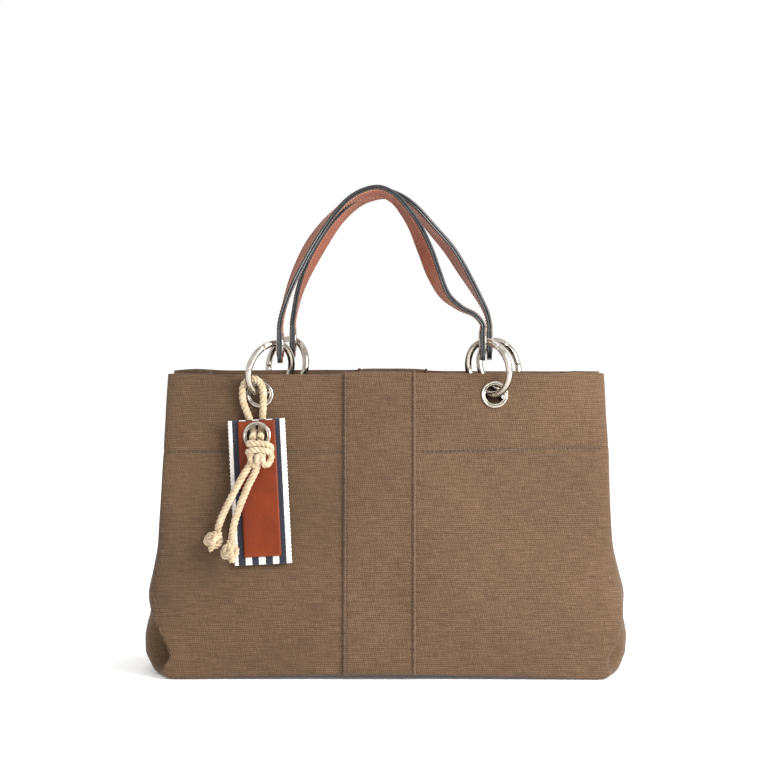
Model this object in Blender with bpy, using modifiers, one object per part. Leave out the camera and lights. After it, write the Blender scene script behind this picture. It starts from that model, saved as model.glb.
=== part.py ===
"""Structured canvas satchel bag with spring-gate rings, leather handles and a rope tag charm.

Metres, +Z up. The bag stands on Z = 0 and its front faces -Y. The body is a trapezoid in front
view and tapers in depth from the base to the mouth. The back panel is the front panel turned
half a turn about Z. Each ring goes through a panel eyelet, over the mouth's edge and through the
eyelet of a handle end, so its plane stands at an angle to the panel.
"""
import math

import bmesh
import bpy
from mathutils import Matrix, Vector

# ---------------------------------------------------------------- driving dimensions
HEIGHT = 0.226                 # mouth above the floor
BASE_HALF_WIDTH = 0.171        # front panel, at the base
TOP_HALF_WIDTH = 0.164         # front panel, at the mouth
BASE_HALF_DEPTH = 0.070
TOP_HALF_DEPTH = 0.030
GAP = 0.0003                   # clearance between touching pieces
CANVAS = 0.0014                # canvas thickness
FACING = 0.0010                # inner facing thickness
FACING_DROP = 0.058            # mouth edge to the facing's stitch line
LINING = 0.0006
BASE_CLOTH = 0.0016
BOARD = 0.0020
BAND_X = -0.0049               # middle of the front centre band
BAND_WIDTH = 0.0548
BAND = 0.0012
GUSSET_BULGE = 0.009           # how far a gusset stands out near the base
GUSSET_FOLD = 0.034            # how far it tucks in at the mouth

EYELET_Z = 0.211
EYELET_NEAR = 0.082            # front right and back left eyelets, from the middle
EYELET_FAR = 0.0953            # front left and back right eyelets
EYELET_HOLE = 0.0072
EYELET_BARREL = 0.0081
EYELET_RIM = 0.0100

RING_RADIUS = 0.0205           # to the middle of the wire
WIRE = 0.0026                  # wire radius
RING_TURN = math.radians(44)   # ring plane against the panel, about Z
LEAN_FAR = math.radians(22)    # lean towards the middle, at the far eyelets
LEAN_NEAR = math.radians(13)
GATE_FROM = math.radians(45)   # gate's arc, from the ring's top towards its outer side
GATE_TO = math.radians(105)
GATE_PIVOT = 0.0015            # gate end to its pivot
GATE_CUT = math.radians(8)     # relief of the gate's free end

STRAP_HALF_WIDTH = 0.011
STRAP_OUTER = 0.0016           # leather layers of a handle
STRAP_INNER = 0.0011
STRAP_TAIL = 0.014             # handle end below its eyelet
STRAP_HOLE = 0.0071            # eyelets in the handle ends
STRAP_BARREL = 0.0079
STRAP_RIM = 0.0094
HANDLE_APEX_Y = 0.0118         # each handle's middle line at its highest point

ROPE = 0.0024                  # rope radius
TAG_WIDTH = 0.0428
TAG_LENGTH = 0.1088
TAG_TILT = math.radians(3.1)
TAG_OUT = 0.0080                # ribbon face off the panel, at the tag's eyelet
TAG_LEAN = math.radians(2.7)    # the tag's foot rests near the panel
TAG_HOLE = 0.0077
TAG_BARREL = 0.0085
TAG_RIM = 0.0104
TAG_HOLE_DOWN = 0.0122         # tag's top edge to its eyelet's middle
RIBBON = 0.0014
PATCH_WIDTH = 0.028
PATCH_LENGTH = 0.102
PATCH = 0.0016
END_KNOT = (0.0140, 0.0135, 0.0130)

SNAP_Z = 0.196                 # magnetic snap, below the mouth
SNAP_RADIUS = 0.0092
POCKET_HALF_WIDTH = 0.080      # patch pocket on the back lining
POCKET_FROM = 0.045
POCKET_TO = 0.155
POCKET = 0.0008
BASE_OVERHANG = 0.0085         # base cloth beyond the front panel's lower corners
STRAP_ROUNDING = 0.35          # share of the strap's half width that its corners lose

FLOOR_CLOTH_TOP = BASE_CLOTH + GAP
SLOPE = math.atan2(BASE_HALF_DEPTH - TOP_HALF_DEPTH, HEIGHT)
HALF_TURN = Matrix.Rotation(math.pi, 4, "Z")

COLOURS = {
    "canvas": ((0.262, 0.174, 0.104, 1), 0.92, 0.0),
    "lining": ((0.42, 0.35, 0.27, 1), 0.90, 0.0),
    "leather": ((0.33, 0.095, 0.045, 1), 0.45, 0.0),
    "nickel": ((0.78, 0.74, 0.68, 1), 0.18, 1.0),
    "ribbon": ((0.80, 0.76, 0.70, 1), 0.85, 0.0),
    "rope": ((0.60, 0.50, 0.34, 1), 0.90, 0.0),
    "board": ((0.30, 0.27, 0.23, 1), 0.85, 0.0),
}


# ---------------------------------------------------------------- general helpers
def clear_scene():
    for ob in list(bpy.data.objects):
        bpy.data.objects.remove(ob, do_unlink=True)


def collection(name):
    found = bpy.data.collections.new(name)
    bpy.context.scene.collection.children.link(found)
    return found


def paint(ob, look):
    colour, rough, metal = COLOURS[look]
    mat = bpy.data.materials.new(ob.name + "_material")
    mat.use_nodes = True
    shader = mat.node_tree.nodes["Principled BSDF"]
    shader.inputs["Base Color"].default_value = colour
    shader.inputs["Roughness"].default_value = rough
    shader.inputs["Metallic"].default_value = metal
    ob.data.materials.append(mat)


def add_mesh(name, bm, look, matrix=None):
    mesh = bpy.data.meshes.new(name)
    bm.to_mesh(mesh)
    bm.free()
    mesh.shade_smooth()
    mesh.set_sharp_from_angle(angle=math.radians(35))
    ob = bpy.data.objects.new(name, mesh)
    PARTS.objects.link(ob)
    if matrix is not None:
        ob.matrix_world = matrix
    if look is not None:
        paint(ob, look)
    return ob


def sheet(name, place, across, along, thickness, look, closed=False, matrix=None):
    """Cloth or leather: a grid whose points place(u, v) sets, u and v from 0 to 1, thickened on
    the side that its normals point away from."""
    bm = bmesh.new()
    bmesh.ops.create_grid(bm, x_segments=across, y_segments=along, size=0.5)
    for vert in bm.verts:
        vert.co = place(vert.co.x + 0.5, vert.co.y + 0.5)
    if closed:
        bmesh.ops.remove_doubles(bm, verts=bm.verts, dist=0.00001)
    ob = add_mesh(name, bm, look, matrix)
    solid = ob.modifiers.new("thickness", "SOLIDIFY")
    solid.thickness = thickness
    solid.offset = -1
    solid.use_even_offset = True
    return ob


def turned(name, profile, look, matrix, steps=24):
    """A closed profile of (radius, height) points turned about local Z."""
    bm = bmesh.new()
    verts = [bm.verts.new((r, 0, z)) for r, z in profile]
    for a, b in zip(verts, verts[1:] + verts[:1]):
        bm.edges.new((a, b))
    ob = add_mesh(name, bm, look, matrix)
    screw = ob.modifiers.new("turn", "SCREW")
    screw.steps = steps
    screw.render_steps = steps
    screw.use_merge_vertices = True
    screw.merge_threshold = 0.00001
    screw.use_smooth_shade = True
    return ob


def tube(name, points, radius, look, matrix=None, scales=None, sides=2):
    """A round wire or rope along points, made a mesh with its end caps welded."""
    curve = bpy.data.curves.new(name, "CURVE")
    curve.dimensions = "3D"
    curve.bevel_depth = radius
    curve.bevel_resolution = sides
    curve.use_fill_caps = True
    spline = curve.splines.new("POLY")
    spline.points.add(len(points) - 1)
    for i, co in enumerate(points):
        spline.points[i].co = (*co, 1)
        spline.points[i].radius = scales[i] if scales else 1.0
    source = bpy.data.objects.new(name + "_path", curve)
    PARTS.objects.link(source)
    graph = bpy.context.evaluated_depsgraph_get()
    mesh = bpy.data.meshes.new_from_object(source.evaluated_get(graph))
    bpy.data.objects.remove(source, do_unlink=True)
    bm = bmesh.new()
    bm.from_mesh(mesh)
    bmesh.ops.remove_doubles(bm, verts=bm.verts, dist=0.00001)
    bmesh.ops.recalc_face_normals(bm, faces=bm.faces)
    return add_mesh(name, bm, look, matrix)


def smooth_path(knots, count):
    """count points, evenly spread over a Catmull-Rom curve through knots."""
    knots = [Vector(k) for k in knots]
    ends = [knots[0] * 2 - knots[1]] + knots + [knots[-1] * 2 - knots[-2]]
    fine = []
    for i in range(1, len(ends) - 2):
        p0, p1, p2, p3 = ends[i - 1:i + 3]
        for k in range(16):
            t = k / 16
            fine.append(0.5 * (2 * p1 + (p2 - p0) * t + (2 * p0 - 5 * p1 + 4 * p2 - p3) * t * t
                               + (3 * p1 - p0 - 3 * p2 + p3) * t ** 3))
    fine.append(knots[-1])
    run = [0.0]
    for a, b in zip(fine, fine[1:]):
        run.append(run[-1] + (b - a).length)
    out, k = [], 0
    for i in range(count):
        want = run[-1] * i / (count - 1)
        while k < len(run) - 2 and run[k + 1] < want:
            k += 1
        share = (want - run[k]) / (run[k + 1] - run[k])
        out.append(fine[k].lerp(fine[k + 1], min(max(share, 0.0), 1.0)))
    return out


def cylinder_cutter(name, radius, depth, matrix):
    bm = bmesh.new()
    bmesh.ops.create_cone(bm, cap_ends=True, segments=40, radius1=radius, radius2=radius, depth=depth)
    mesh = bpy.data.meshes.new(name)
    bm.to_mesh(mesh)
    bm.free()
    ob = bpy.data.objects.new(name, mesh)
    CUTTERS.objects.link(ob)
    ob.matrix_world = matrix
    ob.hide_render = True
    ob.display_type = "WIRE"
    return ob


def cut(ob, cutter):
    mod = ob.modifiers.new("hole", "BOOLEAN")
    mod.operation = "DIFFERENCE"
    mod.solver = "EXACT"
    mod.object = cutter


def ease(t):
    t = min(max(t, 0.0), 1.0)
    return t * t * (3 - 2 * t)


# ---------------------------------------------------------------- bag body
def half_width(z):
    return BASE_HALF_WIDTH + (TOP_HALF_WIDTH - BASE_HALF_WIDTH) * z / HEIGHT


def half_depth(z):
    return BASE_HALF_DEPTH + (TOP_HALF_DEPTH - BASE_HALF_DEPTH) * z / HEIGHT


def gusset_x(v, z):
    """Outer face of the right gusset: v runs from -1 at the front to 1 at the back."""
    low = 1 - ease(z / HEIGHT)
    bulge = GUSSET_BULGE * (0.25 + 0.75 * low) * (1 - v * v)
    fold = GUSSET_FOLD * (1 - low) * (0.5 + 0.5 * math.cos(math.pi * v))
    return half_width(z) + bulge - fold


def on_front(x, z, out):
    """A point out from the front panel's outer face, square to it."""
    return Vector((x, -half_depth(z) - out * math.cos(SLOPE), z + out * math.sin(SLOPE)))


def panel_frame(x, z, out=0.0):
    """Local X across the front panel, local Y up it, local Z out of it."""
    c, s = math.cos(SLOPE), math.sin(SLOPE)
    turn = Matrix(((1, 0, 0), (0, s, -c), (0, c, s))).to_4x4()
    return Matrix.Translation(on_front(x, z, out)) @ turn


def front_sheet(name, x_from, x_to, z_from, z_to, out, thickness, look, across, along):
    """A flat piece parallel to the front panel, its outer face out from the panel's."""
    def place(u, v):
        z = z_from + (z_to - z_from) * v
        left, right = x_from(z), x_to(z)
        return on_front(left + (right - left) * u, z, out)
    return sheet(name, place, across, along, thickness, look)


def to_back(ob):
    """Turn a front piece half a turn about Z, into its place at the back."""
    ob.matrix_world = HALF_TURN @ ob.matrix_world
    return ob


def build_panels():
    facing_out = -CANVAS - GAP
    seam = 0.004                # the facing stops short of the side seams
    made = {}
    for side in ("front", "back"):
        made[side] = [
            front_sheet(f"{side}_panel", lambda z: -half_width(z), half_width, FLOOR_CLOTH_TOP,
                        HEIGHT, 0.0, CANVAS, "canvas", 12, 6),
            front_sheet(f"{side}_facing", lambda z: seam - half_width(z),
                        lambda z: half_width(z) - seam, HEIGHT - FACING_DROP, HEIGHT,
                        facing_out, FACING, "canvas", 12, 2),
            front_sheet(f"centre_band_{side}", lambda z: BAND_X - BAND_WIDTH / 2,
                        lambda z: BAND_X + BAND_WIDTH / 2, FLOOR_CLOTH_TOP + 0.0005,
                        HEIGHT, GAP + BAND, BAND, "canvas", 2, 6),
        ]
        if side == "back":
            for ob in made[side]:
                to_back(ob)
    return made


def build_gussets():
    inset = CANVAS + 2 * GAP

    def place(u, v):
        z = FLOOR_CLOTH_TOP + (HEIGHT - 0.003 - FLOOR_CLOTH_TOP) * v
        side = 2 * u - 1
        return Vector((gusset_x(side, z), side * (half_depth(z) - inset), z))
    right = sheet("right_gusset", place, 12, 6, CANVAS, "canvas")
    left = sheet("left_gusset", place, 12, 6, CANVAS, "canvas")
    to_back(left)
    return left, right


def build_base():
    def flat(z, half_x, half_y):
        return lambda u, v: Vector(((2 * u - 1) * half_x, (2 * v - 1) * half_y, z))
    sheet("base_panel", flat(BASE_CLOTH, BASE_HALF_WIDTH + BASE_OVERHANG, BASE_HALF_DEPTH + 0.0012),
          8, 4, BASE_CLOTH, "canvas")
    board_top = FLOOR_CLOTH_TOP + BOARD
    sheet("base_board", flat(board_top, BASE_HALF_WIDTH - 0.004, BASE_HALF_DEPTH - 0.0042),
          6, 4, BOARD, "board")
    sheet("lining_base", flat(board_top + GAP + LINING, BASE_HALF_WIDTH - 0.006,
                              BASE_HALF_DEPTH - 0.0062), 6, 4, LINING, "lining")


def build_lining():
    """One tube of thin cloth inside the panels and gussets, below the facings."""
    inset = CANVAS + 3 * GAP + 0.0006
    low = FLOOR_CLOTH_TOP + BOARD + LINING + 3 * GAP
    high = HEIGHT - FACING_DROP - 2 * GAP
    corner = 0.006

    def around(u, z):
        deep = half_depth(z) - inset
        turn, part = divmod(u * 4, 1)
        turn = int(turn) % 4
        sign = 1 if turn in (0, 1) else -1
        if turn % 2 == 0:
            wide = half_width(z) - inset - corner
            x, y = (2 * part - 1) * wide, -deep
        else:
            v = (2 * part - 1) * (1 - corner / deep)
            x, y = gusset_x(v, z) - inset - 0.0016, v * deep
        return Vector((sign * x, sign * y, 0))

    def place(u, v):
        z = low + (high - low) * v
        return around(u % 1.0, z) + Vector((0, 0, z))
    sheet("lining", place, 32, 3, LINING, "lining", closed=True)


def build_fittings():
    """The magnetic snap inside the mouth, and the patch pocket on the back lining."""
    inside = CANVAS + FACING + 2 * GAP
    stud = [(0.0022, 0.0024), (SNAP_RADIUS - 0.0004, 0.0024), (SNAP_RADIUS, 0.0020),
            (SNAP_RADIUS, 0.0), (0.0022, 0.0)]
    inwards = panel_frame(0.0, SNAP_Z, -inside) @ Matrix.Rotation(math.pi, 4, "X")
    turned("magnetic_snap_front", stud, "nickel", inwards)
    turned("magnetic_snap_back", stud, "nickel", HALF_TURN @ inwards)
    deep = -(CANVAS + LINING + 7 * GAP + 0.0006)
    pocket = front_sheet("inner_pocket", lambda z: -POCKET_HALF_WIDTH,
                         lambda z: POCKET_HALF_WIDTH, POCKET_FROM, POCKET_TO, deep, POCKET,
                         "lining", 4, 3)
    to_back(pocket)


# ---------------------------------------------------------------- eyelets and rings
def corner_places():
    """Name, turn onto its side, eyelet x and lean of each ring, in the frame of the front
    panel: the two back corners are the front ones turned half a turn."""
    return [
        ("front_left", Matrix.Identity(4), -EYELET_FAR, LEAN_FAR),
        ("front_right", Matrix.Identity(4), EYELET_NEAR, LEAN_NEAR),
        ("back_right", HALF_TURN, -EYELET_FAR, LEAN_FAR),
        ("back_left", HALF_TURN, EYELET_NEAR, LEAN_NEAR),
    ]


def eyelet_profile(stack):
    """Rolled front rim and barrel; stack is the thickness that it clamps."""
    back = -(stack + 0.0013)
    return [(0.0086, 0.0015), (EYELET_RIM, 0.0009), (EYELET_RIM, GAP), (EYELET_BARREL, GAP),
            (EYELET_BARREL, back), (EYELET_HOLE, back), (EYELET_HOLE, 0.0004), (0.0077, 0.0014)]


def washer_profile(stack):
    top, bottom = -(stack + GAP), -(stack + GAP + 0.0008)
    inside = EYELET_BARREL + GAP
    return [(0.0095, top), (0.0095, bottom), (inside, bottom), (inside, top)]


def build_eyelets(panels):
    stack = CANVAS + GAP + FACING
    for name, turn, x, _ in corner_places():
        frame = turn @ panel_frame(x, EYELET_Z)
        turned(f"eyelet_{name}", eyelet_profile(stack), "nickel", frame)
        turned(f"washer_{name}", washer_profile(stack), "nickel", frame)
        cutter = cylinder_cutter(f"hole_{name}", EYELET_BARREL + GAP, 0.02, frame)
        panel, facing = panels[name.split("_")[0]][:2]
        cut(panel, cutter)
        cut(facing, cutter)


def ring_frame(turn, x, lean):
    """Ring axes: local Z from the panel eyelet to the handle eyelet, local X in the ring's
    plane towards its outer front side, origin at its middle."""
    side = 1 if x > 0 else -1
    tilt = Matrix.Rotation(-side * lean, 3, "Y")
    up = tilt @ Vector((0, 0, 1))
    front = tilt @ Vector((side * math.cos(RING_TURN), -math.sin(RING_TURN), 0))
    across = up.cross(front)
    root = on_front(x, EYELET_Z, -(CANVAS + GAP + FACING) / 2)
    axes = Matrix((front, across, up)).transposed().to_4x4()
    return turn @ (Matrix.Translation(root + up * RING_RADIUS) @ axes)


def arc(start, stop, count):
    angles = [start + (stop - start) * i / (count - 1) for i in range(count)]
    return [Vector((RING_RADIUS * math.sin(a), 0, RING_RADIUS * math.cos(a))) for a in angles]


def slice_off(ob, point, normal):
    """Cut away what lies beyond the plane and close the cut."""
    bm = bmesh.new()
    bm.from_mesh(ob.data)
    near = {v for v in bm.verts if (v.co - point).length < 5 * WIRE}
    local = list(near)
    local += [e for e in bm.edges if near.issuperset(e.verts)]
    local += [f for f in bm.faces if near.issuperset(f.verts)]
    done = bmesh.ops.bisect_plane(bm, geom=local, dist=1e-7, plane_co=point, plane_no=normal,
                                  clear_outer=True)
    rim = [g for g in done["geom_cut"] if isinstance(g, bmesh.types.BMEdge)]
    bmesh.ops.contextual_create(bm, geom=rim)
    bmesh.ops.recalc_face_normals(bm, faces=bm.faces)
    bm.to_mesh(ob.data)
    bm.free()


def gate_geometry():
    """Pivot, free end and the slanted cut that lets the gate swing inwards."""
    turn = GATE_PIVOT / RING_RADIUS
    pivot = arc(GATE_FROM + turn, GATE_TO, 2)[0]
    free = arc(GATE_FROM, GATE_TO, 2)[1]
    chord = (free - pivot).normalized()
    inward = Vector((0, 1, 0)).cross(chord)
    normal = math.cos(GATE_CUT) * chord - math.sin(GATE_CUT) * inward
    return pivot, free, normal


def build_rings():
    overrun = 0.006 / RING_RADIUS
    end_gap = 0.0007 / RING_RADIUS
    _, free, normal = gate_geometry()
    for name, turn, x, lean in corner_places():
        frame = ring_frame(turn, x, lean)
        body = tube(f"ring_{name}", arc(GATE_TO - overrun, GATE_FROM + math.tau - end_gap, 56),
                    WIRE, "nickel", frame)
        slice_off(body, free, -normal)
        gate = tube(f"gate_{name}", arc(GATE_FROM, GATE_TO + overrun, 18), WIRE, "nickel", frame,
                    scales=[0.6, 0.92] + [1.0] * 16)
        slice_off(gate, free - normal * GAP, normal)


# ---------------------------------------------------------------- handles
def ring_top(turn, x, lean):
    return (ring_frame(turn, x, lean) @ Vector((0, 0, RING_RADIUS)))


def handle_route(side):
    """Middle line knots (x, z) between the straight ends, and the width's lean (x, z) along
    the strap: left end, left limb, apex, right limb, right end."""
    if side == "front":
        middle = [(-0.0782, 0.272), (-0.0732, 0.289), (-0.0660, 0.307), (-0.0550, 0.328),
                  (-0.0400, 0.3475), (-0.0245, 0.360), (-0.0070, 0.3650), (0.0055, 0.3600),
                  (0.0143, 0.3500), (0.0220, 0.3375), (0.0297, 0.320), (0.0365, 0.302),
                  (0.0448, 0.2860), (0.0560, 0.2765)]
        lean = [(0.0, 0.0), (-0.32, 0.0), (-0.05, -0.26), (-0.45, -0.10), (0.0, 0.0)]
    else:
        middle = [(-0.0712, 0.273), (-0.0675, 0.288), (-0.0608, 0.305), (-0.0503, 0.3245),
                  (-0.0375, 0.3430), (-0.0219, 0.357), (-0.0051, 0.3632), (0.0085, 0.3610),
                  (0.0220, 0.3518), (0.0349, 0.337), (0.0491, 0.320), (0.0620, 0.2994),
                  (0.0715, 0.2835), (0.0775, 0.272)]
        lean = [(0.0, 0.0), (0.34, 0.0), (0.05, -0.22), (-0.30, -0.08), (0.0, 0.0)]
    return middle, lean


def handle_line(side, count):
    """Points of the strap's middle line and its unit width directions."""
    places = {n: (t, x, lean) for n, t, x, lean in corner_places()}
    left = ring_top(*places[f"{side}_left"])
    right = ring_top(*places[f"{side}_right"])
    middle, lean = handle_route(side)
    sign = -1 if side == "front" else 1
    base_y = left.y

    def depth(z):
        return base_y + (sign * HANDLE_APEX_Y - base_y) * ease((z - 0.262) / 0.1)
    straight = (0.0135, 0.009, 0.0, -0.007, -STRAP_TAIL)
    knots = [left + Vector((0, 0, dz)) for dz in reversed(straight)]
    knots += [Vector((x, depth(z), z)) for x, z in middle]
    knots += [right + Vector((0, 0, dz)) for dz in straight]
    line = smooth_path(knots, count)
    end = 0.085                 # share of the strap that stays square to X at each end
    widths = []
    for i, co in enumerate(line):
        along = 4 * min(max((i / (count - 1) - end) / (1 - 2 * end), 0.0), 1.0)
        k = min(int(along), 3)
        share = ease(along - k)
        twist = [a + (b - a) * share for a, b in zip(lean[k], lean[k + 1])]
        tangent = (line[min(i + 1, count - 1)] - line[max(i - 1, 0)]).normalized()
        width = Vector((twist[0], 1.0, twist[1]))
        width -= tangent * width.dot(tangent)
        widths.append(width.normalized())
    return line, widths, left, right


def strap_layer(name, line, widths, shift, thickness):
    """One leather layer: shift is from the middle line to the layer's outer face."""
    count = len(line)

    def place(u, v):
        i = min(round(u * (count - 1)), count - 1)
        tangent = (line[min(i + 1, count - 1)] - line[max(i - 1, 0)]).normalized()
        normal = tangent.cross(widths[i])
        if normal.dot(outward(line[i])) < 0:
            normal = -normal
        return line[i] + widths[i] * (2 * v - 1) * STRAP_HALF_WIDTH + normal * shift
    ob = sheet(name, place, count - 1, 2, thickness, "leather")
    round_ends(ob)
    return ob


def outward(co):
    """Roughly away from the middle of the handle's arch, in front view."""
    return Vector((co.x, 0, co.z - 0.285))


def round_ends(ob):
    """Trim the strap's corners: the four corner points move in along the strap's ends."""
    bm = bmesh.new()
    bm.from_mesh(ob.data)
    bmesh.ops.recalc_face_normals(bm, faces=bm.faces)
    probe = bm.faces[len(bm.faces) // 2]
    if probe.normal.dot(outward(probe.calc_center_median())) < 0:
        bmesh.ops.reverse_faces(bm, faces=bm.faces)
    for vert in [v for v in bm.verts if len(v.link_edges) == 2]:
        vert.co.z += STRAP_ROUNDING * STRAP_HALF_WIDTH
    bm.to_mesh(ob.data)
    bm.free()


def build_handles():
    half = (STRAP_OUTER + GAP + STRAP_INNER) / 2
    for side in ("front", "back"):
        line, widths, left, right = handle_line(side, 49)
        layers = [strap_layer(f"handle_{side}_outer", line, widths, half, STRAP_OUTER),
                  strap_layer(f"handle_{side}_lining", line, widths, half - STRAP_OUTER - GAP,
                              STRAP_INNER)]
        for end, top in (("left", left), ("right", right)):
            out = -1 if end == "left" else 1
            frame = Matrix.Translation(top + Vector((out * half, 0, 0)))
            frame = frame @ Matrix.Rotation(out * math.pi / 2, 4, "Y")
            turned(f"strap_eyelet_{side}_{end}", strap_eyelet_profile(2 * half), "nickel", frame)
            cutter = cylinder_cutter(f"strap_hole_{side}_{end}", STRAP_BARREL + GAP, 0.012, frame)
            for layer in layers:
                cut(layer, cutter)


def strap_eyelet_profile(stack):
    """Two rims and a barrel, clamping the strap from both sides."""
    far = -(stack + GAP)
    return [(0.0082, 0.0010), (STRAP_RIM, GAP), (STRAP_BARREL, GAP), (STRAP_BARREL, far),
            (STRAP_RIM, far), (0.0082, far - 0.0007), (STRAP_HOLE, far - 0.0001),
            (STRAP_HOLE, 0.0004)]


# ---------------------------------------------------------------- rope charm
def tag_frame():
    """Local X across the tag, local Y up it, local Z out of it; origin at its eyelet's middle
    on the ribbon's front face."""
    hang = panel_frame(-0.0968, 0.1793, TAG_OUT)
    lean_in = Matrix.Rotation(TAG_LEAN, 4, "X")
    return hang @ Matrix.Rotation(TAG_TILT, 4, "Z") @ lean_in


def build_tag():
    frame = tag_frame()

    def flat(width, top, length, height):
        return lambda u, v: Vector(((u - 0.5) * width, top - length * (1 - v), height))
    patch_top = TAG_HOLE_DOWN - 0.0010
    ribbon = sheet("tag_ribbon", flat(TAG_WIDTH, TAG_HOLE_DOWN, TAG_LENGTH, 0.0), 6, 10, RIBBON,
                   "ribbon", matrix=frame)
    patch = sheet("tag_leather", flat(PATCH_WIDTH, patch_top, PATCH_LENGTH, PATCH + GAP), 4, 8,
                  PATCH, "leather", matrix=frame)
    stack = RIBBON + GAP + PATCH
    on_top = frame @ Matrix.Translation((0, 0, PATCH + GAP))
    far = -(stack + GAP)
    eyelet = [(0.0088, 0.0012), (TAG_RIM, GAP), (TAG_BARREL, GAP), (TAG_BARREL, far),
              (0.0096, far), (0.0092, far - 0.0005), (TAG_HOLE, far - 0.0004), (TAG_HOLE, 0.0006)]
    turned("tag_eyelet", eyelet, "nickel", on_top)
    cutter = cylinder_cutter("tag_hole", TAG_BARREL + GAP, 0.02, on_top)
    cut(ribbon, cutter)
    cut(patch, cutter)


def charm_point(right, up, out):
    """A point out from the front panel, placed from the front left eyelet's middle."""
    return on_front(-EYELET_FAR + right, EYELET_Z + up * math.cos(SLOPE), out)


def rope_routes():
    """Middle lines of the loop and of the two tails, in right, up and out from the eyelet."""
    loop = [(-0.0043, -0.0352, 0.0160), (-0.0043, -0.0330, 0.0110), (-0.0043, -0.0316, 0.0066),
            (-0.0046, -0.0275, 0.0030), (-0.0086, -0.0160, 0.0032), (-0.0122, -0.0060, 0.0044),
            (-0.0127, 0.0035, 0.0052), (-0.0100, 0.0092, 0.0054), (-0.0052, 0.0112, 0.0054),
            (-0.0004, 0.0092, 0.0054), (0.0026, 0.0032, 0.0052), (0.0029, -0.0060, 0.0044),
            (0.0024, -0.0160, 0.0032), (0.0014, -0.0275, 0.0030), (0.0013, -0.0316, 0.0066),
            (0.0013, -0.0330, 0.0110), (0.0013, -0.0352, 0.0160)]
    left = [(-0.0068, -0.0560, 0.0160), (-0.0130, -0.0660, 0.0155), (-0.0200, -0.0790, 0.0130),
            (-0.0265, -0.0920, 0.0100), (-0.0305, -0.1030, 0.0085)]
    right = [(0.0000, -0.0585, 0.0165), (-0.0055, -0.0700, 0.0145), (-0.0110, -0.0830, 0.0125),
             (-0.0165, -0.0970, 0.0120), (-0.0195, -0.1110, 0.0125)]
    return loop, left, right


def ball(name, centre, size, look):
    bm = bmesh.new()
    bmesh.ops.create_uvsphere(bm, u_segments=16, v_segments=8, radius=1.0)
    bmesh.ops.scale(bm, vec=[s / 2 for s in size], verts=bm.verts)
    frame = panel_frame(0, 0)
    frame.translation = centre
    return add_mesh(name, bm, look, frame)


def build_rope():
    loop, left, right = rope_routes()
    tube("rope_loop", smooth_path([charm_point(*p) for p in loop], 40), ROPE, "rope")
    tube("rope_tail_left", smooth_path([charm_point(*p) for p in left], 16), ROPE, "rope")
    tube("rope_tail_right", smooth_path([charm_point(*p) for p in right], 16), ROPE, "rope")
    ball("rope_knot", charm_point(0.0010, -0.0465, 0.0176), (0.0195, 0.0185, 0.0135), "rope")
    ball("end_knot_left", charm_point(-0.0335, -0.1100, 0.0085), END_KNOT, "rope")
    ball("end_knot_right", charm_point(-0.0212, -0.1189, 0.0130), END_KNOT, "rope")


# ---------------------------------------------------------------- build
clear_scene()
PARTS = collection("satchel_bag")
CUTTERS = collection("cutters")
build_eyelets(build_panels())
build_gussets()
build_base()
build_lining()
build_fittings()
build_rings()
build_handles()
build_tag()
build_rope()
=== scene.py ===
"""Canvas satchel bag with two leather handles on snap rings and a rope charm with a striped
tag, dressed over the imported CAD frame. Metres, Z up, the bag's front faces -Y."""
import math

import bmesh
import bpy
import numpy as np
from mathutils import Matrix, Vector


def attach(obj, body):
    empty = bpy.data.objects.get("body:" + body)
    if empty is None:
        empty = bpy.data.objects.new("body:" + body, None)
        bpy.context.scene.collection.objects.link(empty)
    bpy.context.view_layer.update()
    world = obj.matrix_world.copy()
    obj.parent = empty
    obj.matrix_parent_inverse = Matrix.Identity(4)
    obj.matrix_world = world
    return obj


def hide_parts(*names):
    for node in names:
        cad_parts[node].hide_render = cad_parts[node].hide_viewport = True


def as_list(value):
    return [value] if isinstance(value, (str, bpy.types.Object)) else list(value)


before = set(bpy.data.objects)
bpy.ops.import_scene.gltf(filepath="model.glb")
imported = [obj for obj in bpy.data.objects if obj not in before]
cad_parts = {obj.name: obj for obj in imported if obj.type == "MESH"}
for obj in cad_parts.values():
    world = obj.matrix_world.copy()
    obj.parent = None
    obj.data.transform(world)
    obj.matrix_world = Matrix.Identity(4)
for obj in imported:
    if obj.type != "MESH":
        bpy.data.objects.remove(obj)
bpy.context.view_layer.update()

# ---------------------------------------------------------------- sizes, as in the CAD part
HEIGHT = 0.226
BASE_HALF_DEPTH, TOP_HALF_DEPTH = 0.070, 0.030
GAP = 0.0003
CANVAS, FACING = 0.0014, 0.0010
BAND_X, BAND_WIDTH = -0.0049, 0.0548
EYELET_Z, EYELET_NEAR, EYELET_FAR = 0.211, 0.082, 0.0953
EYELET_BARREL = 0.0081
RING_RADIUS, WIRE = 0.0205, 0.0026
RING_TURN = math.radians(44)
LEAN_FAR, LEAN_NEAR = math.radians(22), math.radians(13)
GATE_FROM, GATE_TO = math.radians(45), math.radians(105)
STRAP_HALF_WIDTH, STRAP_OUTER, STRAP_INNER = 0.011, 0.0016, 0.0011
STRAP_TAIL, STRAP_BARREL = 0.014, 0.0079
HANDLE_APEX_Y = 0.0118
ROPE = 0.0024
TAG_WIDTH, TAG_LENGTH = 0.0428, 0.1088
TAG_TILT, TAG_LEAN, TAG_OUT = math.radians(3.1), math.radians(2.7), 0.0080
TAG_BARREL, TAG_HOLE_DOWN = 0.0085, 0.0122
RIBBON, PATCH, PATCH_WIDTH, PATCH_LENGTH = 0.0014, 0.0016, 0.028, 0.102
SLOPE = math.atan2(BASE_HALF_DEPTH - TOP_HALF_DEPTH, HEIGHT)
SEAM_Z, SEAM_RISE = 0.1682, 0.0030  # the facing's stitch line, and how much higher it is at the right
FLOOR_CLEAR = 0.00002
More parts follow.
